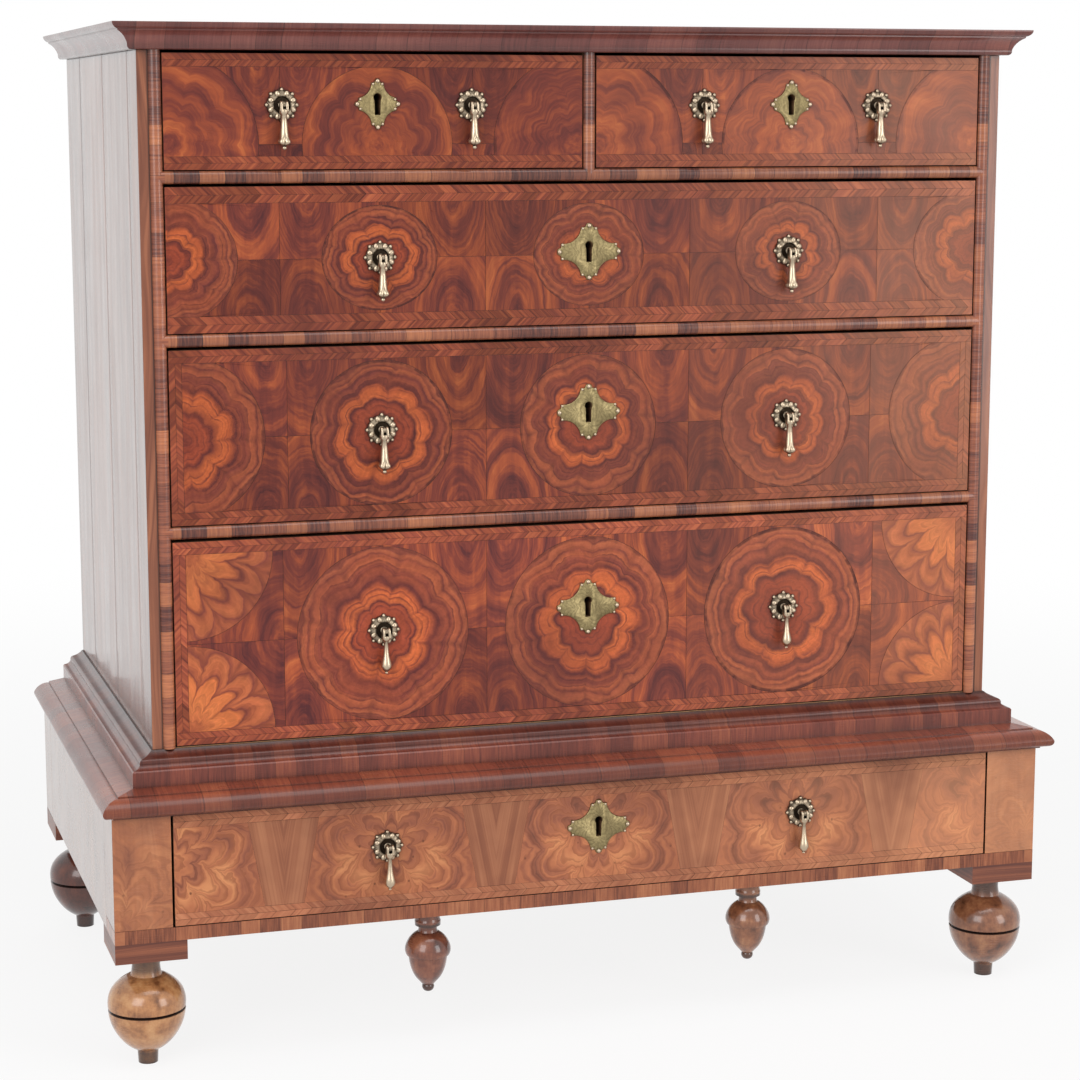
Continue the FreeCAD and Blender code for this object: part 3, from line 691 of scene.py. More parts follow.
faced_boards = (SIDE_WALNUT, STAND_WALNUT, BLOCK_WALNUT, FRONT_PINE, BACK_PINE)
print("other boards:", [finish.name for finish in faced_boards])

# %% [markdown]
# ## The top
# The camera can't see the top. Such tops are laid as four matched leaves inside a cross-grained
# border, so the finish mirrors one quarter about both middle lines and measures the distance to
# the nearest edge for the border.

# %% Top
BORDER = 48.0
TOP_HEART = 470.0
TOP_STRETCH = 2.4
TOP_SEED = 5.0


def top_finish():
    material, s, skin = new_finish("top_walnut", specular=0.16)
    low, high = (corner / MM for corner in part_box("chest_top_board"))
    x, y, _ = s.parts(place_in_mm(s))
    from_x = s.math("ABSOLUTE", x)
    from_y = s.math("ABSOLUTE", s.math("SUBTRACT", y, (low.y + high.y) / 2))
    to_side = s.math("SUBTRACT", high.x, from_x)
    to_long = s.math("SUBTRACT", (high.y - low.y) / 2, from_y)
    figure = s.joined(s.math("MULTIPLY", from_y, TOP_STRETCH), s.math("SUBTRACT", from_x, TOP_HEART),
                      TOP_SEED)
    rings = s.group(RINGS, Figure=figure, Reach=300.0, Years=12.0, Scallops=3.0, Flute=0.05, Wander=80.0)
    level = s.stir(ring_bands(s, rings["Share"], TOP_SEED, 6.0), rings["Fibre"], 0.45)
    leaf = s.ramp(level, (0.25, paint(84, 42, 34)), (0.45, paint(124, 64, 45)), (0.60, paint(150, 82, 52)),
                  (0.80, paint(184, 112, 68)))
    at_side = s.math("LESS_THAN", to_side, to_long)
    across = s.mix(at_side, s.joined(y, x, 0.0), s.joined(x, y, 0.0))
    grain = s.group(GRAIN, Figure=across, Width=7.0, Sway=6.0)
    border = s.ramp(grain["Streak"], (0.0, paint(80, 40, 33)), (0.5, paint(118, 62, 46)),
                    (1.0, paint(150, 86, 58)))
    inside = s.math("MINIMUM", to_side, to_long)
    wood = s.mix(s.math("GREATER_THAN", inside, BORDER), border, leaf)
    line = s.span(s.math("ABSOLUTE", s.math("SUBTRACT", inside, BORDER)), 0.3, 0.9, 0.8, 0.0)
    wood = s.mix(line, wood, paint(52, 26, 24))
    grime_and_shade(s, skin, polish_over(s, skin, 0.38, 0.52, 0.0003), wood, paint(84, 42, 34))
    return material


TOP_WALNUT = top_finish()
print("top finish:", TOP_WALNUT.name)

# %% [markdown]
# ## Cross-grained mouldings
# The mouldings and beads are not cut along the board. Short blocks stand side by side with their
# grain across the length, so a moulding reads as a row of small dark and light bricks. The
# position along the length picks the block: X on the front lengths, Y on the returns, and the
# mitre line decides which is which. Upright beads use Z.

# %% Cross banding group
BLOCK = 34.0


def make_block_group():
    tree, s, given, out = new_group(
        "Cross blocks",
        [("Along", "Float", 0.0), ("Across", "Vector", None), ("Length", "Float", BLOCK)],
        [("Tone", "Float"), ("Seam", "Float"), ("Fibre", "Float")],
    )
    along = s.math("DIVIDE", given["Along"], given["Length"])
    cell = s.add("ShaderNodeTexVoronoi", voronoi_dimensions="1D")
    edge = s.add("ShaderNodeTexVoronoi", voronoi_dimensions="1D", feature="DISTANCE_TO_EDGE")
    for node in (cell, edge):
        s.wire(node.inputs["W"], along)
        s.wire(node.inputs["Scale"], 1.0)
    s.wire(out["Tone"], s.parts(cell.outputs["Color"])[0])
    s.wire(out["Seam"], s.span(edge.outputs["Distance"], 0.004, 0.022, 1.0, 0.0))
    place = s.parts(given["Across"])
    fibre = s.joined(s.math("MULTIPLY", given["Along"], 0.55), s.math("MULTIPLY", place[0], 0.03),
                     s.math("MULTIPLY", place[1], 0.03))
    s.wire(out["Fibre"], s.noise(fibre, 1.0, 4.0, 0.6))
    return tree


BLOCKS = make_block_group()
print("block group:", len(BLOCKS.nodes), "nodes")

# %% [markdown]
# The height of a moulding splits it into darker and lighter tiers. On the base moulding and the
# nosing some tiers are painted light and shade: the nosing's upper face lighter and its bulge
# darker, the base moulding's top ledge under the drawers dark. Faces that look straight up have
# lost their shine under dust.

# %% Mouldings
BANDED_COAT = 0.8
case_low, case_high = (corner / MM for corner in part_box("chest_sides"))
divider_low, divider_high = (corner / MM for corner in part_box("short_drawer_divider"))
opening_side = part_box("upper_drawer_front")[1].x / MM


def bead_course(sheet, x, y, z):
    """Where the beads stand upright, and the place along and across them."""
    from_middle = sheet.math("ABSOLUTE", x)
    at_side = sheet.math("GREATER_THAN", from_middle, opening_side)
    at_divider = sheet.math("LESS_THAN", from_middle, divider_high.x)
    at_divider = sheet.math("MULTIPLY", at_divider, sheet.math("GREATER_THAN", z, divider_low.z))
    upright = sheet.math("MAXIMUM", at_side, at_divider)
    return upright, sheet.mix(upright, x, z), sheet.joined(sheet.mix(upright, z, x), y, 0.0)


def moulding_course(sheet, x, y, z):
    """Where a moulding returns along the side, and the place along and across it."""
    past_side = sheet.math("SUBTRACT", sheet.math("ABSOLUTE", x), case_high.x)
    past_front = sheet.math("SUBTRACT", case_low.y, y)
    on_return = sheet.math("GREATER_THAN", past_side, past_front)
    return on_return, sheet.mix(on_return, x, y), sheet.joined(z, sheet.mix(on_return, y, x), 0.0)


def tier(node, low_share, high_share, below, above):
    """How bright the wood is below one share of a node's height and above another."""
    low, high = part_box(node)
    heights = [(low.z + (high.z - low.z) * share) / MM for share in (low_share, high_share)]
    return (*heights, below, above)


def banded_finish(name, dark, mid, light, contrast, grain, length=BLOCK, coat_ior=1.36, dusty=False, tiers=(),
                  course=moulding_course, front_tone=1.0):
    """front_tone is how bright the lengths along the front are against the others."""
    material, s, skin = new_finish(name, coat=BANDED_COAT, coat_roughness=0.22, coat_ior=coat_ior,
                                   specular=0.15)
    if dusty:
        s.wire(skin["Coat Weight"], s.span(s.parts(facing(s))[2], 0.85, 0.97, BANDED_COAT, 0.0))
    x, y, z = s.parts(place_in_mm(s))
    elsewhere, along, across = course(s, x, y, z)
    blocks = s.group(BLOCKS, Along=along, Across=across, Length=length)
    level = s.stir(s.stir(0.5, blocks["Fibre"], grain), blocks["Tone"], contrast)
    wood = s.ramp(level, (0.22, dark), (0.5, mid), (0.80, light))
    wood = s.tint(wood, blocks["Seam"], 0.6, paint(46, 24, 22))
    if front_tone != 1.0:
        wood = s.dim(wood, s.span(elsewhere, 0.0, 1.0, front_tone, 1.0, "LINEAR"))
    for heights in tiers:
        wood = s.dim(wood, s.span(z, *heights))
    grime_and_shade(s, skin, polish_over(s, skin, 0.22, 0.38, 0.0003, 0.016), wood, dark)
    return material


CORNICE = banded_finish("cornice_walnut", paint(70, 36, 35), paint(114, 62, 56), paint(144, 87, 74),
                        contrast=0.2, grain=0.5, length=30.0, coat_ior=1.45, dusty=True,
                        tiers=[tier("cornice_moulding", 0.1, 0.4, 0.7, 1.05),
                               tier("cornice_moulding", 0.55, 0.75, 1.0, 0.78)])
# The base moulding's second tier paints its top ledge dark: painted shade under the drawers.
MOULDING = banded_finish("cross_grain_walnut", paint(58, 28, 27), paint(112, 56, 44), paint(152, 86, 58),
                         contrast=0.2, grain=0.55, length=22.0, dusty=True,
                         tiers=[tier("base_moulding", 0.5, 0.65, 1.28, 0.72),
                                tier("base_moulding", 0.9, 0.98, 1.0, 0.5)])
# The nosing's tier paints its upper face lighter and its bulge darker: painted light and shade.
NOSING = banded_finish("stand_moulding_walnut", paint(66, 33, 29), paint(122, 62, 46), paint(158, 92, 62),
                       contrast=0.22, grain=0.55, tiers=[tier("stand_moulding", 0.6, 0.8, 0.84, 1.35)])
BEADING = banded_finish("bead_walnut", paint(80, 42, 38), paint(150, 86, 62), paint(196, 122, 80),
                        contrast=0.42, grain=0.8, length=26.0, coat_ior=1.45, course=bead_course,
                        front_tone=0.78, tiers=[(divider_low.z - 60.0, divider_low.z - 30.0, 1.0, 0.85)])
RAILING = banded_finish("stand_rail_walnut", paint(96, 55, 45), paint(154, 93, 66), paint(188, 125, 88),
                        contrast=0.3, grain=0.8, length=22.0, coat_ior=1.25)
print("mouldings:", [finish.name for finish in (CORNICE, MOULDING, NOSING, BEADING, RAILING)])

# %% [markdown]
# ## Turned feet
# The feet and acorns were turned on a lathe from different trees over the years: the front left
# ball is pale and mottled, the others darker. The place of a piece picks its colour. A soft mottle
# and streaks that run up the piece stand in for its grain. Height alone finds where shade is
# painted: the groove, the neck and the peg of a foot and the ring under an acorn's collar are
# painted darker as shade, and an acorn is darker towards its tip.

# %% Turned wood
foot_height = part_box("foot_blocks")[0].z / MM
acorn_low, acorn_high = (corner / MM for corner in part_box("acorn_pendants"))
ACORN_TIP = acorn_low.z + 8.0
ACORN_RING = acorn_low.z + 76.0
PEG_TOP = 0.115 * foot_height
GROOVE = 0.493 * foot_height
NECK = 0.79 * foot_height


def turned_finish():
    material, s, skin = new_finish("turned_walnut", coat=0.5, coat_roughness=0.08)
    place = place_in_mm(s)
    x, y, z = s.parts(place)
    streaks = s.noise(s.vector("MULTIPLY", place, (0.09, 0.09, 0.02)), 1.0, 4.0, 0.6)
    mottle = s.noise(s.vector("MULTIPLY", place, (0.05, 0.05, 0.06)), 1.0, 5.0, 0.65)
    level = s.math("MULTIPLY_ADD", mottle, 0.6, s.math("MULTIPLY", streaks, 0.4))
    pale = s.ramp(level, (0.35, paint(112, 68, 40)), (0.5, paint(180, 124, 78)), (0.65, paint(208, 158, 108)))
    brown = s.ramp(level, (0.35, paint(82, 48, 33)), (0.5, paint(142, 89, 60)), (0.65, paint(182, 127, 88)))
    dark = s.ramp(level, (0.35, paint(58, 30, 24)), (0.5, paint(92, 46, 34)), (0.65, paint(120, 66, 46)))
    red = s.ramp(level, (0.35, paint(70, 37, 29)), (0.5, paint(119, 66, 47)), (0.65, paint(157, 99, 71)))
    on_foot = s.math("GREATER_THAN", s.math("ABSOLUTE", x), acorn_high.x)
    foot = s.mix(s.math("LESS_THAN", x, -acorn_high.x), brown, pale)
    foot = s.mix(s.math("GREATER_THAN", y, 0.0), foot, dark)
    acorn = s.mix(s.math("GREATER_THAN", x, 0.0), red, brown)
    # Painted shade on the peg, the neck, the groove and the ring under the acorn's collar; the acorn's tip is
    # darker too.
    unlit = s.math("MAXIMUM", s.span(z, PEG_TOP - 3.0, PEG_TOP + 2.0, 1.0, 0.0), s.span(z, NECK, NECK + 8.0))
    groove = s.span(s.math("ABSOLUTE", s.math("SUBTRACT", z, GROOVE)), 1.0, 2.2, 1.0, 0.0)
    foot_shade = s.math("MAXIMUM", s.math("MULTIPLY", unlit, 0.7), groove)
    ring = s.span(s.math("ABSOLUTE", s.math("SUBTRACT", z, ACORN_RING)), 1.5, 3.0, 0.8, 0.0)
    acorn_darkening = s.math("MAXIMUM", s.span(z, ACORN_TIP, ACORN_TIP + 2.0, 0.75, 0.0), ring)
    tint = s.mix(on_foot, acorn_darkening, foot_shade)
    wood = s.mix(tint, s.mix(on_foot, acorn, foot), paint(44, 28, 22))
    grime_and_shade(s, skin, polish_over(s, skin, 0.16, 0.32, 0.0004), wood, paint(70, 42, 30))
    return material


TURNED = turned_finish()
print("turned finish:", TURNED.name)

# %% [markdown]
# ## Brass and iron
# The pulls are cast brass that has gone greenish-grey in the hollows and stays bright where
# fingers rub it. Each mesh carries "rubbed", from 0 in a hollow to 1 on a crest, and the finish
# mixes the two. The keyhole plates are engraved with a few ringed lines. The locks are plain dark
# iron.


# %% Metals
def brass_finish(name, hollow, crest, shine, engraved=0.0):
    material, s, skin = new_finish(name, metallic=1.0)
    spots = s.noise(object_place(s), 420.0, 4.0, 0.65)
    rubbed = s.stir(s.attribute("rubbed", "Fac"), spots, 0.8)
    hidden = s.add("ShaderNodeAmbientOcclusion", samples=4)
    s.wire(hidden.inputs["Distance"], 0.004)
    rubbed = s.math("MULTIPLY", s.span(rubbed, 0.05, 0.95), s.span(hidden.outputs["AO"], 0.3, 0.9))
    height = spots
    if engraved:
        cuts = s.group(RINGS, Figure=s.attribute("figure"), Reach=27.0, Years=5.0, Scallops=4.0, Flute=0.8,
                       Wander=6.0)
        rubbed = s.math("MULTIPLY", rubbed, s.span(cuts["Line"], 0.2, 0.9, 1.0, 1.0 - engraved))
        height = s.math("SUBTRACT", spots, cuts["Line"])
    s.wire(skin["Base Color"], s.mix(rubbed, hollow, crest))
    s.wire(skin["Roughness"], s.span(rubbed, 0.0, 1.0, 0.55, shine, "LINEAR"))
    raise_bump(s, skin, height, 0.0002, 0.5)
    return material


def iron_finish():
    material, s, skin = new_finish("lock_iron", metallic=0.9)
    rust = s.noise(object_place(s), 160.0, 5.0, 0.65)
    metal = s.ramp(rust, (0.35, paint(52, 50, 50)), (0.6, paint(70, 62, 56)), (0.75, paint(96, 66, 46)))
    s.wire(skin["Base Color"], metal)
    s.wire(skin["Roughness"], s.span(rust, 0.3, 0.7, 0.45, 0.75, "LINEAR"))
    raise_bump(s, skin, rust, 0.0003)
    return material


BRASS = brass_finish("antique_brass", paint(46, 37, 29), paint(190, 172, 148), 0.3)
PLATE_BRASS = brass_finish("plate_brass", paint(62, 52, 34), paint(158, 142, 102), 0.42, engraved=0.24)
IRON = iron_finish()
print("metals:", BRASS.name, PLATE_BRASS.name, IRON.name)

# %% [markdown]
# ## Dressing the packed boards
# Boards straight from a saw have knife edges that no polished chest shows. A weld joins the
# triangles of the packed mesh, and a small bevel rounds each sharp edge, without touching the
# mesh itself. Mouldings, beads and turned pieces stay as they came: a weld would spoil the normals
# that make their curves look round.

# %% Finishes on packed nodes
EASED_EDGE = 0.6
EASED_ANGLE = 40
WELD_REACH = 0.01
CURVED = (CORNICE, MOULDING, NOSING, BEADING, TURNED)


def dress(node, finish):
    piece = frame["nodes"][node]
    piece.data.materials.clear()
    piece.data.materials.append(finish)
    if finish in CURVED:
        return
    weld = piece.modifiers.new("weld", "WELD")
    weld.merge_threshold = WELD_REACH * MM
    bevel = piece.modifiers.new("eased edges", "BEVEL")
    bevel.width = EASED_EDGE * MM
    bevel.segments = 2
    bevel.limit_method = "ANGLE"
    bevel.angle_limit = math.radians(EASED_ANGLE)
    bevel.harden_normals = True


DRAWERS = ("top_left_drawer", "top_right_drawer", "upper_drawer", "middle_drawer", "lower_drawer",
           "stand_drawer")
finishes = {
    "chest_sides": SIDE_WALNUT, "chest_top_board": TOP_WALNUT, "chest_bottom_board": PINE,
    "chest_back_boards": BACK_PINE, "cornice_moulding": CORNICE, "drawer_rails": PINE,
    "short_drawer_divider": PINE, "drawer_opening_beads": BEADING, "drawer_runners": PINE,
    "base_moulding": MOULDING, "stand_moulding": NOSING, "stand_posts": STAND_WALNUT,
    "stand_panels": STAND_WALNUT, "stand_front_rail": RAILING, "stand_top_board": PINE,
    "foot_blocks": BLOCK_WALNUT, "ball_feet": TURNED, "acorn_pendants": TURNED,
}
for drawer in DRAWERS:
    finishes[drawer + "_front"] = FRONT_PINE
    finishes[drawer + "_box"] = OAK
    finishes[drawer + "_lock_case"] = IRON
    finishes[drawer + "_lock_bolt"] = IRON
for node, finish in finishes.items():
    dress(node, finish)
print("dressed", len(finishes), "packed nodes")

# %% [markdown]
# ## Leaves of veneer
# A veneered front is a jigsaw of thin leaves. Each leaf here is a closed prism a third of a
# millimetre thick that lies on the drawer's board, drawn as an outline in X and Z and shrunk a
# little so that a dark glue line shows between neighbours.

# %% Outlines
GLUE_LINE = 0.18
LEAF_THICKNESS = 0.35


def area(outline):
    turns = zip(outline, outline[1:] + outline[:1])
    return sum(a[0] * b[1] - b[0] * a[1] for a, b in turns) / 2


def shrunk(outline, gap):
    """The outline moved inwards by gap. It runs anticlockwise as seen from the front."""
    moved = []
    for i, here in enumerate(outline):
        before = Vector(here) - Vector(outline[i - 1])
        after = Vector(outline[(i + 1) % len(outline)]) - Vector(here)
        n1 = Vector((-before.y, before.x)).normalized()
        n2 = Vector((-after.y, after.x)).normalized()
        step = gap / max(0.25, 1 + n1.dot(n2))
        moved.append((here[0] + (n1.x + n2.x) * step, here[1] + (n1.y + n2.y) * step))
    return moved


def clipped(outline, inside):
    """The part of an outline where inside(point) is not negative."""
    kept = []
    for a, b in zip(outline, outline[1:] + outline[:1]):
        da, db = inside(a), inside(b)
        if da >= 0:
            kept.append(a)
        if da * db < 0:
            share = da / (da - db)
            kept.append((a[0] + (b[0] - a[0]) * share, a[1] + (b[1] - a[1]) * share))
    return kept


def boxed(outline, x0, x1, z0, z1):
    for inside in (lambda p: p[0] - x0, lambda p: x1 - p[0], lambda p: p[1] - z0, lambda p: z1 - p[1]):
        outline = clipped(outline, inside)
    return outline


def disc(x, z, radius, steps=72):
    turns = [2 * math.pi * i / steps for i in range(steps)]
    return [(x + radius * math.cos(t), z + radius * math.sin(t)) for t in turns]


def corner_leaf(x, z, radius, x_edge, z_edge, steps=30):
    """What is left of a box corner to corner from (x, z) once a disc round (x, z) is cut from it."""
    reach_x, reach_z = x_edge - x, z_edge - z
    turns = [math.pi / 2 * i / steps for i in range(steps + 1)]
    turns.append(math.atan2(abs(reach_z), abs(reach_x)))
    turns.append(math.asin(min(1.0, abs(reach_z) / radius)))
    turns.append(math.acos(min(1.0, abs(reach_x) / radius)))
    outer, inner = [], []
    for turn in sorted(set(turns)):
        c, s = math.cos(turn), math.sin(turn)
        reach = min(abs(reach_x) / max(c, 1e-9), abs(reach_z) / max(s, 1e-9))
        if reach > radius - 1e-6:
            for arc, distance in ((outer, reach), (inner, radius)):
                out, up = math.copysign(c * distance, reach_x), math.copysign(s * distance, reach_z)
                arc.append((x + out, z + up))
    return outer + inner[::-1]


print("a disc of 50 mm covers", round(area(disc(0, 0, 50))), "square mm")

# %% [markdown]
# The lock's keyhole passes through the middle leaf. Cutting that leaf in two along the keyhole
# keeps each half a plain outline, and with no glue line between the halves the cut can't be seen.

# %% Keyhole
KEYHOLE_HEIGHT = 22.0
KEYHOLE_RADIUS = 4.2
KEYHOLE_SLOT = 5.6


def keyhole_side(x, z, hand, steps=8):
    """One side of the keyhole's outline, top to bottom."""
    head = z + KEYHOLE_HEIGHT / 2 - KEYHOLE_RADIUS
    foot = z - KEYHOLE_HEIGHT / 2
    half = KEYHOLE_SLOT / 2
    sweep = math.pi / 2 + math.asin(half / KEYHOLE_RADIUS)
    points = []
    for i in range(steps + 1):
        turn = math.pi / 2 - sweep * i / steps
        points.append((x + hand * KEYHOLE_RADIUS * math.cos(turn), head + KEYHOLE_RADIUS * math.sin(turn)))
    return points + [(x + hand * half, foot), (x, foot)]


def halves_round_keyhole(outline, x, z):
    halves = []
    for hand in (-1, 1):
        half = clipped(outline, lambda p: hand * (p[0] - x))
        rows = [i for i, p in enumerate(half)
                if abs(p[0] - x) < 1e-6 and abs(half[(i + 1) % len(half)][0] - x) < 1e-6]
        cut = keyhole_side(x, z, hand)
        i = max(rows, key=lambda row: abs(half[row][1] - half[(row + 1) % len(half)][1]))
        if half[i][1] < half[(i + 1) % len(half)][1]:
            cut = cut[::-1]
        halves.append(half[: i + 1] + cut + half[i + 1:])
    return halves


print("keyhole side has", len(keyhole_side(0, 0, 1)), "points")

# %% [markdown]
# A cabinet maker lays one front at a time, leaf by leaf. One object per leaf would make hundreds,
# so a builder gathers the leaves of a front into one mesh, and writes each leaf's figure, tone and
# cut on its corners for the finishes to read. Leaves towards the right end of the chest are painted
# paler: sun fade, and painted light for the glare there.

# %% Veneer builder
ROUND_CUT = {"reach": 80.0, "scallops": 9.0, "flute": 0.14, "heart": 0.0}
LONG_CUT = {"reach": 1000.0, "scallops": 3.0, "flute": 0.02, "heart": -0.08}
SMALLEST_LEAF = 4.0
FADE_POWER = 4


class Veneer:
    """Gathers the leaves of one drawer front and makes one piece of them."""

    def __init__(self, drawer, seed, lift, fade_and_glare, contrast=1.0):
        self.drawer = drawer
        self.lift = lift
        self.fade_and_glare = fade_and_glare
        self.contrast = contrast
        low, high = (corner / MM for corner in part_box(drawer + "_front"))
        self.x0, self.x1, self.z0, self.z1 = low.x, high.x, low.z, high.z
        self.face = low.y
        self.chance = random.Random(seed)
        self.points, self.faces, self.finish, self.figure = [], [], [], []
        self.traits = {name: [] for name in ("tone", "fade_and_glare", *ROUND_CUT)}

    def new_seed(self):
        return round(self.chance.uniform(0, 90), 2)

    def leaf(self, outline, figure, tone, finish=0, gap=GLUE_LINE, seed=None, **cut):
        if area(outline) < 0:
            outline = outline[::-1]
        if len(outline) < 3 or area(outline) < SMALLEST_LEAF:
            return
        rim = shrunk(outline, gap) if gap else outline
        seed = self.new_seed() if seed is None else seed
        first = len(self.points)
        count = len(rim)
        for depth in (-LEAF_THICKNESS, 0.0):
            for x, z in rim:
                self.points.append((x, self.face + depth, z))
                self.figure += [*figure(x, z), seed]
        middle_x = sum(x for x, _ in rim) / count
        # How far towards the right end the leaf lies; the paler colour there is sun fade and painted light
        # for glare.
        rightward = ((middle_x / case_high.x + 1) / 2) ** FADE_POWER
        traits = {"tone": tone * self.lift, "fade_and_glare": self.fade_and_glare * rightward, **ROUND_CUT, **cut}
        for name, value in traits.items():
            self.traits[name] += [value] * (2 * count)
        front = list(range(first, first + count))
        self.faces.append(front)
        self.faces.append([i + count for i in reversed(front)])
        for i in range(count):
            j = (i + 1) % count
            self.faces.append([front[j], front[i], front[i] + count, front[j] + count])
        self.finish += [finish] * (count + 2)

    def build(self, finishes, slot):
        mesh = bpy.data.meshes.new(self.drawer + "_veneer")
        mesh.from_pydata([Vector(p) * MM for p in self.points], [], self.faces)
        for finish in finishes:
            mesh.materials.append(finish)
        mesh.polygons.foreach_set("material_index", self.finish)
        mesh.attributes.new("figure", "FLOAT_VECTOR", "POINT").data.foreach_set("vector", self.figure)
        for name, values in self.traits.items():
            mesh.attributes.new(name, "FLOAT", "POINT").data.foreach_set("value", values)
        piece = bpy.data.objects.new(mesh.name, mesh)
        bpy.context.collection.objects.link(piece)
        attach(piece, self.drawer)
        return piece


print("every leaf carries figure, tone, bleach,", ", ".join(ROUND_CUT))

# %% [markdown]
# Feather banding is two narrow strips whose grain meets in a row of arrow heads. Each strip is
# laid from slanted scraps, so the arrows vary from dark to light.

# %% Feather bands
BAND = 13.5
SCRAP = 17.0
FINE_GLUE_LINE = 0.15


def feather_band(veneer, x0, x1, z0, z1, upright=False):
    """Two mirrored rows of slanted scraps that meet at the band's middle line."""
    low, high = (z0, z1) if upright else (x0, x1)
    near, far = (x0, x1) if upright else (z0, z1)
    middle = (near + far) / 2
    shift = middle - near
    place, mood = low - shift, 0.0
    while place < high:
        length = SCRAP * veneer.chance.uniform(0.75, 1.25)
        mood = max(-0.22, min(0.08, mood + veneer.chance.uniform(-0.12, 0.12)))
        tone = 1.0 + veneer.contrast * (mood + veneer.chance.uniform(-0.2, 0.2))
        for edge, lean in ((near, 1), (far, -1)):
            end = place + length
            corners = [(place, edge), (end, edge), (end + shift, middle), (place + shift, middle)]
            if upright:
                corners = [(across, along) for along, across in corners]
            outline = boxed(corners, x0, x1, z0, z1)
            if len(outline) < 3:
                continue
            slope = math.radians(45) * lean

            def figure(x, z, slope=slope):
                along, across = (z, x) if upright else (x, z)
                return (along * math.cos(slope) + across * math.sin(slope),
                        across * math.cos(slope) - along * math.sin(slope))

            shade = tone * veneer.chance.uniform(0.92, 1.08)
            veneer.leaf(outline, figure, shade, finish=1, gap=FINE_GLUE_LINE)
        place += length


def edge_bands(veneer, side_band, band=BAND):
    """Feather bands round a front. Gives back the box that is left inside them."""
    x0, x1, z0, z1 = veneer.x0, veneer.x1, veneer.z0, veneer.z1
    low, high = z0 + band, z1 - band
    feather_band(veneer, x0, x1, high, z1)
    feather_band(veneer, x0, x1, z0, low)
    if side_band:
        feather_band(veneer, x0, x0 + side_band, low, high, upright=True)
        feather_band(veneer, x1 - side_band, x1, low, high, upright=True)
    return x0 + side_band, x1 - side_band, low, high


print("feather bands are", BAND, "mm wide")

# %% [markdown]
# ## Rows of oysters
# A long front is a row of round oysters, most with half ones at the ends. The corners between the
# circles are filled with smaller leaves in pairs, cut along the branch, so their rings run as
# nested arches from the edge of the front. Dark and light leaves take turns. The oysters of the
# upper front are a little flattened, because it is low.

# %% Oyster rows
BRIGHT_HEART = 0.07
DARK_LEAF = 0.80
PALE_LEAF = 0.98
HEART_BEYOND = 6.0


def heart_figure(x, z, turn=0.0, flat=1.0):
    c, s = math.cos(turn), math.sin(turn) / flat
    rise, fall = math.cos(turn) / flat, math.sin(turn)
    return lambda px, pz: ((px - x) * c + (pz - z) * s, (pz - z) * rise - (px - x) * fall)


def arch_figure(x, z, squeeze=1.9):
    """Rings drawn out upright, as in a leaf cut along the branch."""
    return lambda px, pz: ((px - x) * squeeze, pz - z)


def flattened(outline, z, flat):
    return [(px, z + (pz - z) * flat) for px, pz in outline]


def oyster_row(veneer, discs, x0, x1, z0, z1, keyhole, finish=0, flat=1.0):
    """discs holds (x, z, radius, tone). The leaves round each one meet at its middle height.

    flat is the height of an oyster over its width."""
    lines = [x0]
    for (xa, _, ra, _), (xb, _, rb, _) in zip(discs, discs[1:]):
        lines.append((xa + ra + xb - rb) / 2)
    lines.append(x1)
    for number, (x, z, radius, tone) in enumerate(discs):
        left, right = lines[number], lines[number + 1]
        oyster = flattened(disc(x, z, radius), z, flat)
        outline = boxed(oyster, max(x0, left - radius), min(x1, right + radius), z0, z1)
        figure = heart_figure(x, z, veneer.chance.uniform(0, 6), flat)
        cut = {"reach": radius, "scallops": veneer.chance.choice([8.0, 9.0, 10.0]), "heart": BRIGHT_HEART}
        if abs(keyhole[0] - x) < radius / 2:
            seed = veneer.new_seed()
            for half in halves_round_keyhole(shrunk(outline, GLUE_LINE), *keyhole):
                veneer.leaf(half, figure, tone, finish, gap=0, seed=seed, **cut)
        else:
            veneer.leaf(outline, figure, tone, finish, **cut)
        for side, x_edge in ((-1, left), (1, right)):
            if abs(x_edge - x) < 3.0:
                continue
            for rise, z_edge in ((-1, z0), (1, z1)):
                outline = corner_leaf(x, z, radius, x_edge, z + (z_edge - z) / flat)
                outline = flattened(outline, z, flat)
                if len(outline) < 3:
                    continue
                dark = (number + (side > 0) + (rise > 0)) % 2
                shade = (DARK_LEAF if dark else PALE_LEAF) * veneer.chance.uniform(0.92, 1.08)
                heart_x = (x + side * radius * 0.75 + x_edge) / 2
                figure = arch_figure(heart_x, z_edge + rise * HEART_BEYOND)
                veneer.leaf(outline, figure, shade, finish=2, **LONG_CUT)


print("leaves between the oysters are", DARK_LEAF, "or", PALE_LEAF, "times as bright")

# %% [markdown]
# ## Five fronts of oysters
# Each long front has three whole oysters, under its pulls and its keyhole. Two of them end in half
# oysters, the lowest in corner fans. The short fronts are laid from wide leaves whose hearts lie
# low. A seed picks the leaves, and lift and fade_and_glare match each front to its place on the old chest.

# %% Oyster fronts
PULL_SPACING = 230.0
FAN_CLEARANCE = 14.0
FAN_CUT = {"scallops": 14.0, "flute": 0.42}
SHORT_RISE = 12.0
SHORT_INSET = 6.0
SHORT_MIDDLE = 80.0
SHORT_END = 92.0
CALM_BANDS = 0.4


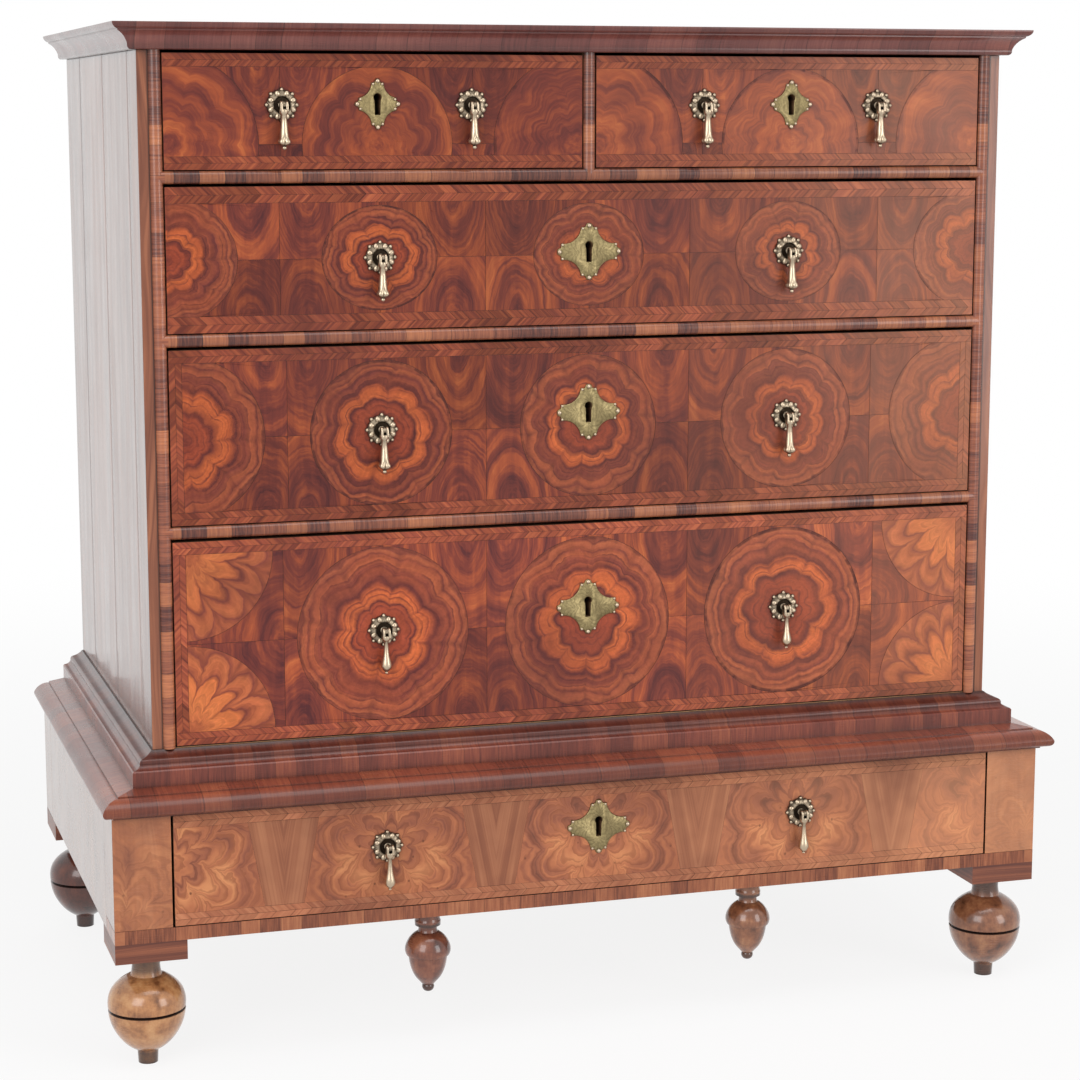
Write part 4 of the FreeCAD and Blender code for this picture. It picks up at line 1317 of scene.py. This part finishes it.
def corner_fans(veneer, radius, left, right, low, high, inner, middle_z):
    """A quarter fan in each corner, and a leaf that fills what the fan leaves free."""
    for x, edge in ((left, -inner), (right, inner)):
        for z in (low, high):
            box = (min(x, edge), max(x, edge), min(z, middle_z), max(z, middle_z))
            quarter = boxed(disc(x, z, radius), *box)
            veneer.leaf(quarter, heart_figure(x, z), veneer.chance.uniform(1.0, 1.1), finish=3, reach=radius,
                        **FAN_CUT)
            rest = corner_leaf(x, z, radius, edge, middle_z)
            veneer.leaf(rest, arch_figure(edge, middle_z, 1.2), veneer.chance.uniform(0.85, 1.0), finish=2,
                        **LONG_CUT)


def long_front(drawer, seed, middle_z, radius, lift, fade_and_glare, end_radius=0.0, fan_radius=0.0, side_band=0.0,
               band=BAND, flat=1.0):
    """Three oysters between half ones or, where there is a fan_radius, between corner fans."""
    veneer = Veneer(drawer, seed, lift, fade_and_glare)
    left, right, low, high = edge_bands(veneer, side_band, band)
    tones = [veneer.chance.uniform(0.94, 1.08) for _ in range(5)]
    discs = [(x, middle_z, radius, tone) for x, tone in zip((-PULL_SPACING, 0.0, PULL_SPACING), tones)]
    key = (0.0, keyhole_heights[drawer])
    if fan_radius:
        inner = PULL_SPACING + radius + FAN_CLEARANCE
        oyster_row(veneer, discs, -inner, inner, low, high, key)
        corner_fans(veneer, fan_radius, left, right, low, high, inner, middle_z)
    else:
        discs.insert(0, (left, middle_z, end_radius, tones[3]))
        discs.append((right, middle_z, end_radius, tones[4]))
        oyster_row(veneer, discs, left, right, low, high, key, flat=flat)
    return veneer.build([OYSTER, FEATHER, LEAF, FAN], "oyster_walnut")


def short_front(drawer, seed, lift, fade_and_glare):
    veneer = Veneer(drawer, seed, lift, fade_and_glare, CALM_BANDS)
    x0, x1, low, high = edge_bands(veneer, 0.0)
    centre = (x0 + x1) / 2
    places = (x0 + SHORT_INSET, SHORT_END), (centre, SHORT_MIDDLE), (x1 - SHORT_INSET, SHORT_END)
    discs = [(x, low + SHORT_RISE, radius, veneer.chance.uniform(0.95, 1.08)) for x, radius in places]
    oyster_row(veneer, discs, x0, x1, low, high, (centre, keyhole_heights[drawer]), finish=2)
    return veneer.build([OYSTER, FEATHER, LEAF, FAN], "oyster_walnut")


keyhole_heights = {}
for drawer in DRAWERS:
    lock_low, lock_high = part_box(drawer + "_lock_case")
    keyhole_heights[drawer] = (lock_low.z + lock_high.z) / 2 / MM
fronts = [short_front("top_left_drawer", 11, lift=0.98, fade_and_glare=0.0)]
fronts.append(short_front("top_right_drawer", 12, lift=1.04, fade_and_glare=0.30))
fronts.append(long_front("upper_drawer", 21, middle_z=850.0, radius=62.0, lift=0.97, fade_and_glare=0.27,
                         end_radius=74.0, band=17.0, flat=0.88))
fronts.append(long_front("middle_drawer", 22, middle_z=666.0, radius=77.0, lift=1.02, fade_and_glare=0.28,
                         end_radius=86.0, side_band=BAND))
fronts.append(long_front("lower_drawer", 23, middle_z=450.0, radius=94.0, lift=1.36, fade_and_glare=0.22,
                         fan_radius=92.0, side_band=BAND))
print("veneered fronts:", [(p.name, len(p.data.polygons)) for p in fronts])

# %% [markdown]
# ## The stand's front
# The stand is faced with a yellower burr walnut. Slices cut one after the other from the same burr
# are opened like the pages of a book, so each lobed curl is mirrored about its own middle. A plain
# wedge, its grain in nested letters V, stands half way to the next. A small step of the seed makes
# one slice nearly, but not quite, like the one before it.

# %% Burr front
CURLS = 4
CURL_RISE = 58.0
CURL_SQUEEZE = 0.85
SLICE_STEP = 0.12
CALM_FOOT = 21.0
CALM_HEAD = 38.0
CALM_TONE = 0.92
SLICE_TONE = 0.97
SLICE_PALING = 0.013


def split_at(outline, x):
    return [clipped(outline, lambda p: hand * (p[0] - x)) for hand in (-1, 1)]


def curl_figure(x, z):
    """Mirrored about x, and drawn out upright so that the calm wood widens towards the top."""
    return lambda px, pz: (abs(px - x), (pz - z) * CURL_SQUEEZE)


def calm_figure(x, z0, z1):
    """Straight grain that follows both sides of a wedge, in nested letters V."""
    lean = (CALM_HEAD - CALM_FOOT) / (z1 - z0)
    return lambda px, pz: (pz, abs(px - x) - lean * (pz - z0))


def trapezium(foot, head, z0, z1):
    return [(foot[0], z0), (foot[1], z0), (head[1], z1), (head[0], z1)]


def stand_front():
    veneer = Veneer("stand_drawer", 31, lift=0.99, fade_and_glare=0.5, contrast=CALM_BANDS)
    pitch = (veneer.x1 - veneer.x0) / CURLS
    x0, x1, z0, z1 = edge_bands(veneer, 0.0)
    key = (0.0, keyhole_heights["stand_drawer"])
    seed = veneer.new_seed()
    for number in range(CURLS + 1):
        x = veneer.x0 + number * pitch
        left, right = x - pitch / 2, x + pitch / 2
        burr = trapezium((left + CALM_FOOT, right - CALM_FOOT), (left + CALM_HEAD, right - CALM_HEAD), z0, z1)
        burr = boxed(burr, x0, x1, z0, z1)
        # Slices grow paler towards the right: sun fade, and painted light for the glare there.
        tone = SLICE_TONE + SLICE_PALING * number ** 2
        figure = curl_figure(x, z0 + CURL_RISE)
        for half in halves_round_keyhole(burr, *key) if number == CURLS / 2 else split_at(burr, x):
            if len(half) > 2:
                veneer.leaf(half, figure, tone, gap=0, seed=seed + SLICE_STEP * number)
        if number < CURLS:
            foot, head = ((right - reach, right + reach) for reach in (CALM_FOOT, CALM_HEAD))
            wedge = trapezium(foot, head, z0, z1)
            grain = veneer.new_seed()
            figure = calm_figure(right, z0, z1)
            for half in split_at(shrunk(wedge, FINE_GLUE_LINE), right):
                veneer.leaf(half, figure, tone * CALM_TONE, finish=2, gap=0, seed=grain)
    return veneer.build([BURR, PALE_FEATHER, CALM], "burr_walnut")


fronts.append(stand_front())
print("stand front:", len(fronts[-1].data.polygons), "faces")

# %% [markdown]
# ## Cast brass
# A rose, a stud, a drop and a keyhole plate are built from rings of points joined by strips. The
# maker keeps, for every point, how far it is rubbed bright. Turning each shape in a modifier would
# be shorter, but the lobes of the roses and drops aren't round.

# %% Casting maker
CREASE_ANGLE = 50


class Casting:
    """Gathers rings of points, in millimetres, and makes one cast piece of them."""

    def __init__(self):
        self.points, self.faces, self.rubbed, self.finish, self.figure = [], [], [], [], []

    def rings(self, rings, rubbed, finish=0, middle=(0.0, 0.0)):
        """Strips between rings of equally many points; a flat cap closes each end."""
        first = len(self.points)
        count = len(rings[0])
        self.finish += [finish] * (count * (len(rings) - 1) + 2)
        for ring, shine in zip(rings, rubbed):
            self.points += ring
            self.rubbed += [shine] * count
            for point in ring:
                self.figure += [point[0] - middle[0], point[2] - middle[1], 0.0]
        for row in range(len(rings) - 1):
            a = first + row * count
            for i in range(count):
                j = (i + 1) % count
                self.faces.append([a + i, a + j, a + count + j, a + count + i])
        last = first + (len(rings) - 1) * count
        self.faces.append([first + i for i in reversed(range(count))])
        self.faces.append([last + i for i in range(count)])

    def build(self, name, body, node):
        mesh = bpy.data.meshes.new(name)
        mesh.from_pydata([Vector(p) * MM for p in self.points], [], self.faces)
        mesh.attributes.new("rubbed", "FLOAT", "POINT").data.foreach_set("value", self.rubbed)
        mesh.attributes.new("figure", "FLOAT_VECTOR", "POINT").data.foreach_set("vector", self.figure)
        mesh.materials.append(BRASS)
        mesh.materials.append(PLATE_BRASS)
        mesh.polygons.foreach_set("material_index", self.finish)
        mesh.shade_smooth()
        mesh.set_sharp_from_angle(angle=math.radians(CREASE_ANGLE))
        piece = bpy.data.objects.new(name, mesh)
        bpy.context.collection.objects.link(piece)
        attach(piece, body)
        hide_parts(node)


def circle(radius, steps, place):
    turns = [2 * math.pi * i / steps for i in range(steps)]
    return [place(radius * math.cos(t), radius * math.sin(t)) for t in turns]


print("a casting keeps", ", ".join(vars(Casting())))

# %% [markdown]
# A rose is a dish with two rows of half eggs as petals. Its stud passes through the drawer front to
# a nut behind it. In front it ends in a rounded tongue with a cross pin, on which the drop hangs.

# %% Rose and stud
PETALS = 8
PIVOT_REACH = 12.0


def spin_out(casting, x, y, z, outline, steps=32):
    """Spin (radius, height, rubbed) about an axis that points out of the drawer."""
    rings = [circle(r, steps, lambda u, v, h=h: (x + u, y - h, z + v)) for r, h, _ in outline]
    casting.rings(rings, [shine for _, _, shine in outline])


def petal(casting, x, y, z, turn, centre, length, width, foot, height, steps=12, levels=4):
    """A half-egg that lies on the rose, its long axis along a radius."""
    c, s = math.cos(turn), math.sin(turn)
    rings, shine = [], []
    for level in range(levels + 1):
        rise = math.pi / 2 * min(level / levels, 0.97)
        size, lift = math.cos(rise), math.sin(rise)
        ring = []
        for i in range(steps):
            t = 2 * math.pi * i / steps
            along = centre + length / 2 * size * math.cos(t)
            across = width / 2 * size * math.sin(t)
            ring.append((x + along * c - across * s, y - foot - height * lift, z + along * s + across * c))
        rings.append(ring)
        shine.append(0.1 + 0.9 * lift)
    casting.rings(rings, shine)


def rose(casting, x, y, z):
    dish = [(0.5, 0.0, 0.0), (15.2, 0.0, 0.0), (15.4, 1.6, 0.2), (13.8, 2.8, 0.35), (10.6, 4.0, 0.6),
            (9.0, 3.8, 0.4), (8.0, 2.0, 0.05), (0.5, 1.8, 0.0)]
    spin_out(casting, x, y, z, dish)
    for number in range(PETALS):
        turn = 2 * math.pi * (number + 0.5) / PETALS
        petal(casting, x, y, z, turn, 12.2, 7.6, 6.4, 2.6, 2.8)
        petal(casting, x, y, z, turn + math.pi / PETALS, 15.6, 4.6, 4.4, 0.8, 2.4)


def stud(casting, x, y, z):
    shank = [(2.2, -22.0, 0.2), (2.2, 1.8, 0.2)]
    nut = [(4.4, -24.5, 0.4), (5.0, -24.0, 0.6), (5.0, -22.4, 0.5), (4.4, -22.0, 0.3)]
    collar = [(3.8, 1.8, 0.2), (3.8, 3.0, 0.5), (3.2, 3.4, 0.6)]
    for outline in (shank, nut, collar):
        spin_out(casting, x, y, z, outline, 16)
    half, radius = 1.5, 3.2
    side = [(3.0, -radius), (PIVOT_REACH, -radius)]
    side += [(PIVOT_REACH + radius * math.sin(t), -radius * math.cos(t)) for t in
             (math.pi * i / 10 for i in range(1, 10))]
    side += [(PIVOT_REACH, radius), (3.0, radius)]
    rings = [[(x + u, y - out, z + up) for out, up in side] for u in (-half, half)]
    casting.rings(rings, [0.5, 0.5])
    pin = [circle(1.2, 12, lambda a, b, u=u: (x + u, y - PIVOT_REACH + a, z + b)) for u in (-4.2, 4.2)]
    casting.rings(pin, [0.6, 0.6])


print("each rose has", 2 * PETALS, "petals, and its drop hangs", PIVOT_REACH, "mm in front of the drawer")

# %% [markdown]
# A keyhole plate is a diamond with hollow sides and a knop at each tip. An arc through three points
# draws one hollow side, and mirror images of it give the others. The plate is cut in two along the
# keyhole, like the veneer under it.


# %% Keyhole plate
def plate_outline(half_width, half_height, shoulder, tip=4.5, waist=0.43, steps=10):
    """Hollow-sided diamond with a knop between two shoulders at each tip, anticlockwise."""

    def arc(a, m, b):
        ax, az, mx, mz, bx, bz = *a, *m, *b
        d = 2 * (ax * (mz - bz) + mx * (bz - az) + bx * (az - mz))
        ux = ((ax**2 + az**2) * (mz - bz) + (mx**2 + mz**2) * (bz - az) + (bx**2 + bz**2) * (az - mz)) / d
        uz = ((ax**2 + az**2) * (bx - mx) + (mx**2 + mz**2) * (ax - bx) + (bx**2 + bz**2) * (mx - ax)) / d
        start, end = math.atan2(az - uz, ax - ux), math.atan2(bz - uz, bx - ux)
        sweep = (end - start + math.pi) % (2 * math.pi) - math.pi
        radius = math.hypot(ax - ux, az - uz)
        turns = [start + sweep * i / steps for i in range(steps + 1)]
        return [(ux + radius * math.cos(t), uz + radius * math.sin(t)) for t in turns]

    knop = shoulder / 2
    right, top = half_width - tip, half_height - tip
    quarter = [(half_width, 0.0), (half_width - 0.8, knop * 0.6), (right, knop)]
    quarter += arc((right, shoulder), (half_width * waist, half_height * waist), (shoulder, top))
    quarter += [(knop, top), (knop * 0.6, half_height - 0.8)]
    outline = quarter + [(0.0, half_height)] + [(-u, v) for u, v in quarter[::-1]]
    outline += [(-u, -v) for u, v in quarter[1:]] + [(0.0, -half_height)]
    outline += [(u, -v) for u, v in quarter[::-1][:-1]]
    return outline


def keyhole_plate(casting, x, y, z, outline, shoulder, thickness=1.8):
    """A cast plate with a softened rim, in two halves round the keyhole."""
    for half in halves_round_keyhole([(x + u, z + v) for u, v in outline], x, z):
        if area(half) < 0:
            half = half[::-1]
        inner = shrunk(half, 0.7)
        inner = [(x if abs(a[0] - x) < 1e-6 else b[0], b[1]) for a, b in zip(half, inner)]
        rings = [[(u, y, v) for u, v in half], [(u, y - thickness * 0.6, v) for u, v in half],
                 [(u, y - thickness, v) for u, v in inner]]
        casting.rings(rings, [0.0, 0.95, 0.65], finish=1, middle=(x, z))
    for u, v in ((1, 0), (-1, 0), (0, 1), (0, -1)):
        reach = max(abs(a * u + b * v) for a, b in outline)
        for aside, inset, size in ((0.0, 2.8, 2.4), (shoulder - 1.6, 6.0, 1.5), (1.6 - shoulder, 6.0, 1.5)):
            out = reach - inset
            bead = [(size, thickness - 0.3, 0.5), (size * 0.85, thickness + size * 0.35, 0.9),
                    (size * 0.4, thickness + size * 0.6, 1.0)]
            spin_out(casting, x + u * out + v * aside, y, z + v * out + u * aside, bead, 12)


LONG_SHOULDER = 9.0
SMALL_SHOULDER = 6.5
long_plate = plate_outline(36.0, 30.5, LONG_SHOULDER)
small_plate = plate_outline(24.5, 26.5, SMALL_SHOULDER)
print("plate outline has", len(long_plate), "points")

# %% [markdown]
# Every drop hangs from its own joint in the packed frame, so the joint's place is where its pin
# goes. The chest's upper drawers have drops that end in a lobed bud, the two lowest drawers plain
# pears.

# %% Fittings and drops
hinges = {joint["name"]: joint for joint in frame["joints"]}
FLARE = 4
BUD_FOOT, BUD_HEAD = -41.0, -34.0
BUD_DEPTH = 0.4
DROP_STEPS = 40


def drop(casting, x, y, z, pear):
    """A turned drop under a fork; the end is a lobed bud or a plain pear."""
    if pear:
        outline = [(0.6, -45.5, 0.8), (1.8, -44.6, 0.9), (1.4, -43.2, 0.4), (3.4, -42.0, 0.7),
                   (5.6, -38.6, 1.0), (5.9, -36.0, 1.0), (5.0, -32.0, 0.9), (3.4, -26.0, 0.9),
                   (2.4, -18.0, 0.8), (2.1, -11.0, 0.6), (3.4, -9.6, 0.8), (4.6, -8.0, 0.9),
                   (4.6, -5.4, 0.7), (4.2, -4.3, 0.4)]
    else:
        outline = [(0.6, -45.5, 0.8), (2.2, -44.4, 1.0), (2.4, -43.0, 0.9), (1.6, -41.6, 0.2),
                   (4.4, -40.6, 0.5), (7.0, -38.6, 0.9), (7.4, -36.8, 1.0), (6.0, -34.6, 0.8),
                   (4.9, -32.0, 0.8), (4.5, -28.0, 0.9), (3.7, -20.0, 1.0), (2.7, -10.6, 0.7),
                   (3.6, -9.4, 0.8), (4.6, -7.8, 0.9), (4.6, -5.4, 0.7), (4.2, -4.3, 0.4)]
    rings = []
    for radius, height, _ in outline:
        lobes = BUD_DEPTH if not pear and BUD_FOOT < height < BUD_HEAD else 0.0
        ring = []
        for i in range(DROP_STEPS):
            t = 2 * math.pi * i / DROP_STEPS
            swell = radius * (1 - lobes + lobes * abs(math.sin(FLARE * t / 2)))
            ring.append((x + swell * math.cos(t), y + swell * math.sin(t), z + height))
        rings.append(ring)
    casting.rings(rings, [shine for _, _, shine in outline])
    radius, inner, cheek = 3.6, 1.8, 2.4
    for hand in (-1, 1):
        side = [(-radius, -5.6), (radius, -5.6)]
        turns = [math.pi * i / 12 for i in range(13)]
        side += [(radius * math.cos(t), radius * math.sin(t)) for t in turns]
        near, far = sorted((hand * inner, hand * (inner + cheek)))
        layers = [(near, 1.0), (near + 0.4, 1.08), (far - 0.4, 1.08), (far, 1.0)]
        cheeks = [[(x + u, y + a * grow, z + b * grow) for a, b in side] for u, grow in layers]
        casting.rings(cheeks, [0.4, 0.9, 0.9, 0.5])


for drawer in DRAWERS:
    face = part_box(drawer + "_front")[0].y / MM
    lock_low, lock_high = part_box(drawer + "_lock_case")
    lock_x = (lock_low.x + lock_high.x) / 2 / MM
    fittings = Casting()
    small = drawer.startswith("top")
    plate, shoulder = (small_plate, SMALL_SHOULDER) if small else (long_plate, LONG_SHOULDER)
    keyhole_plate(fittings, lock_x, face, keyhole_heights[drawer], plate, shoulder)
    for side in ("left", "right"):
        node = f"{drawer}_drop_{side}"
        x, y, z = (number / MM for number in hinges[node + "_hinge"]["pos_m"])
        rose(fittings, x, face, z)
        stud(fittings, x, face, z)
        hanging = Casting()
        drop(hanging, x, y, z, drawer in ("lower_drawer", "stand_drawer"))
        hanging.build(node + "_cast", node, node)
    fittings.build(drawer + "_cast_fittings", drawer, drawer + "_fittings")

# %% [markdown]
# ## The studio
# Three soft boxes, at the left, at the right and above, light the chest on a white floor. The floor
# stays pale and keeps a soft shadow; seen straight or in a reflection it is white, so the polish
# mirrors white too.

# %% Floor and backdrop
FLOOR_REACH = 30.0
AMBIENT = 0.45


def seen_white(sheet):
    """1 for rays from the camera, from a shiny surface or through glass."""
    path = sheet.add("ShaderNodeLightPath").outputs
    seen = sheet.math("MAXIMUM", path["Is Camera Ray"], path["Is Glossy Ray"])
    return sheet.math("MAXIMUM", seen, path["Is Transmission Ray"])


def add_floor():
    material, s, skin = new_finish("studio_floor", roughness=0.9, specular=0.0)
    skin["Base Color"].default_value = (0.9, 0.9, 0.9, 1.0)
    nodes = material.node_tree.nodes
    white = s.add("ShaderNodeEmission")
    blend = s.add("ShaderNodeMixShader")
    far = s.vector("LENGTH", object_place(s))
    s.wire(blend.inputs[0], s.math("MULTIPLY", seen_white(s), s.span(far, 0.9, 3.0, 0.86, 1.0)))
    s.wire(blend.inputs[1], nodes["Principled BSDF"].outputs[0])
    s.wire(blend.inputs[2], white.outputs[0])
    s.wire(nodes["Material Output"].inputs[0], blend.outputs[0])
    mesh = bpy.data.meshes.new("studio_floor")
    corners = [(x * FLOOR_REACH, y * FLOOR_REACH, 0) for x, y in ((-1, -1), (1, -1), (1, 1), (-1, 1))]
    mesh.from_pydata(corners, [], [(0, 1, 2, 3)])
    mesh.materials.append(material)
    floor = bpy.data.objects.new("studio_floor", mesh)
    bpy.context.collection.objects.link(floor)


def add_sky():
    world = bpy.data.worlds.new("white studio")
    bpy.context.scene.world = world
    world.use_nodes = True
    s = NodeSheet(world.node_tree)
    back = world.node_tree.nodes["Background"].inputs
    back["Color"].default_value = (1.0, 1.0, 1.0, 1.0)
    s.wire(back["Strength"], s.span(seen_white(s), 0.0, 1.0, AMBIENT, 1.0, "LINEAR"))


def add_soft_box(name, place, target, width, height, watts):
    lamp = bpy.data.lights.new(name, "AREA")
    lamp.shape = "RECTANGLE"
    lamp.size, lamp.size_y = width, height
    lamp.energy = watts
    box = bpy.data.objects.new(name, lamp)
    box.location = place
    box.rotation_euler = (Vector(target) - Vector(place)).to_track_quat("-Z", "Y").to_euler()
    bpy.context.collection.objects.link(box)


add_floor()
add_sky()
middle = (0.0, -0.1, 0.5)
add_soft_box("left soft box", (-2.3, -2.6, 1.7), middle, 1.8, 2.2, 48)
add_soft_box("right soft box", (2.2, -3.2, 1.3), middle, 1.4, 2.4, 42)
add_soft_box("top soft box", (0.0, -1.0, 3.2), middle, 2.2, 1.6, 28)
bpy.context.scene.view_settings.view_transform = "Standard"
print("studio lit by", len(bpy.data.lights), "soft boxes")

# %% [markdown]
# ## The camera
# Long parallel edges of the chest fix where the photograph was taken from: a long lens, a little
# to the left of the chest and a little below its top, tipped down. The picture is 1080 steps square.

# %% Camera
PICTURE = 1080
FOCAL_STEPS = 2634.1
SENSOR = 36.0
EYE = (-0.8909, -2.9310, 0.9994)
TIP_DOWN = 0.16073
TURN_RIGHT = 0.30145

lens = bpy.data.cameras.new("photograph")
lens.sensor_width = SENSOR
lens.lens = FOCAL_STEPS / PICTURE * SENSOR
camera = bpy.data.objects.new("photograph", lens)
camera.location = EYE
camera.rotation_euler = (math.pi / 2 - TIP_DOWN, 0.0, -TURN_RIGHT)
bpy.context.collection.objects.link(camera)
bpy.context.scene.camera = camera
print("lens", round(lens.lens, 1), "mm")
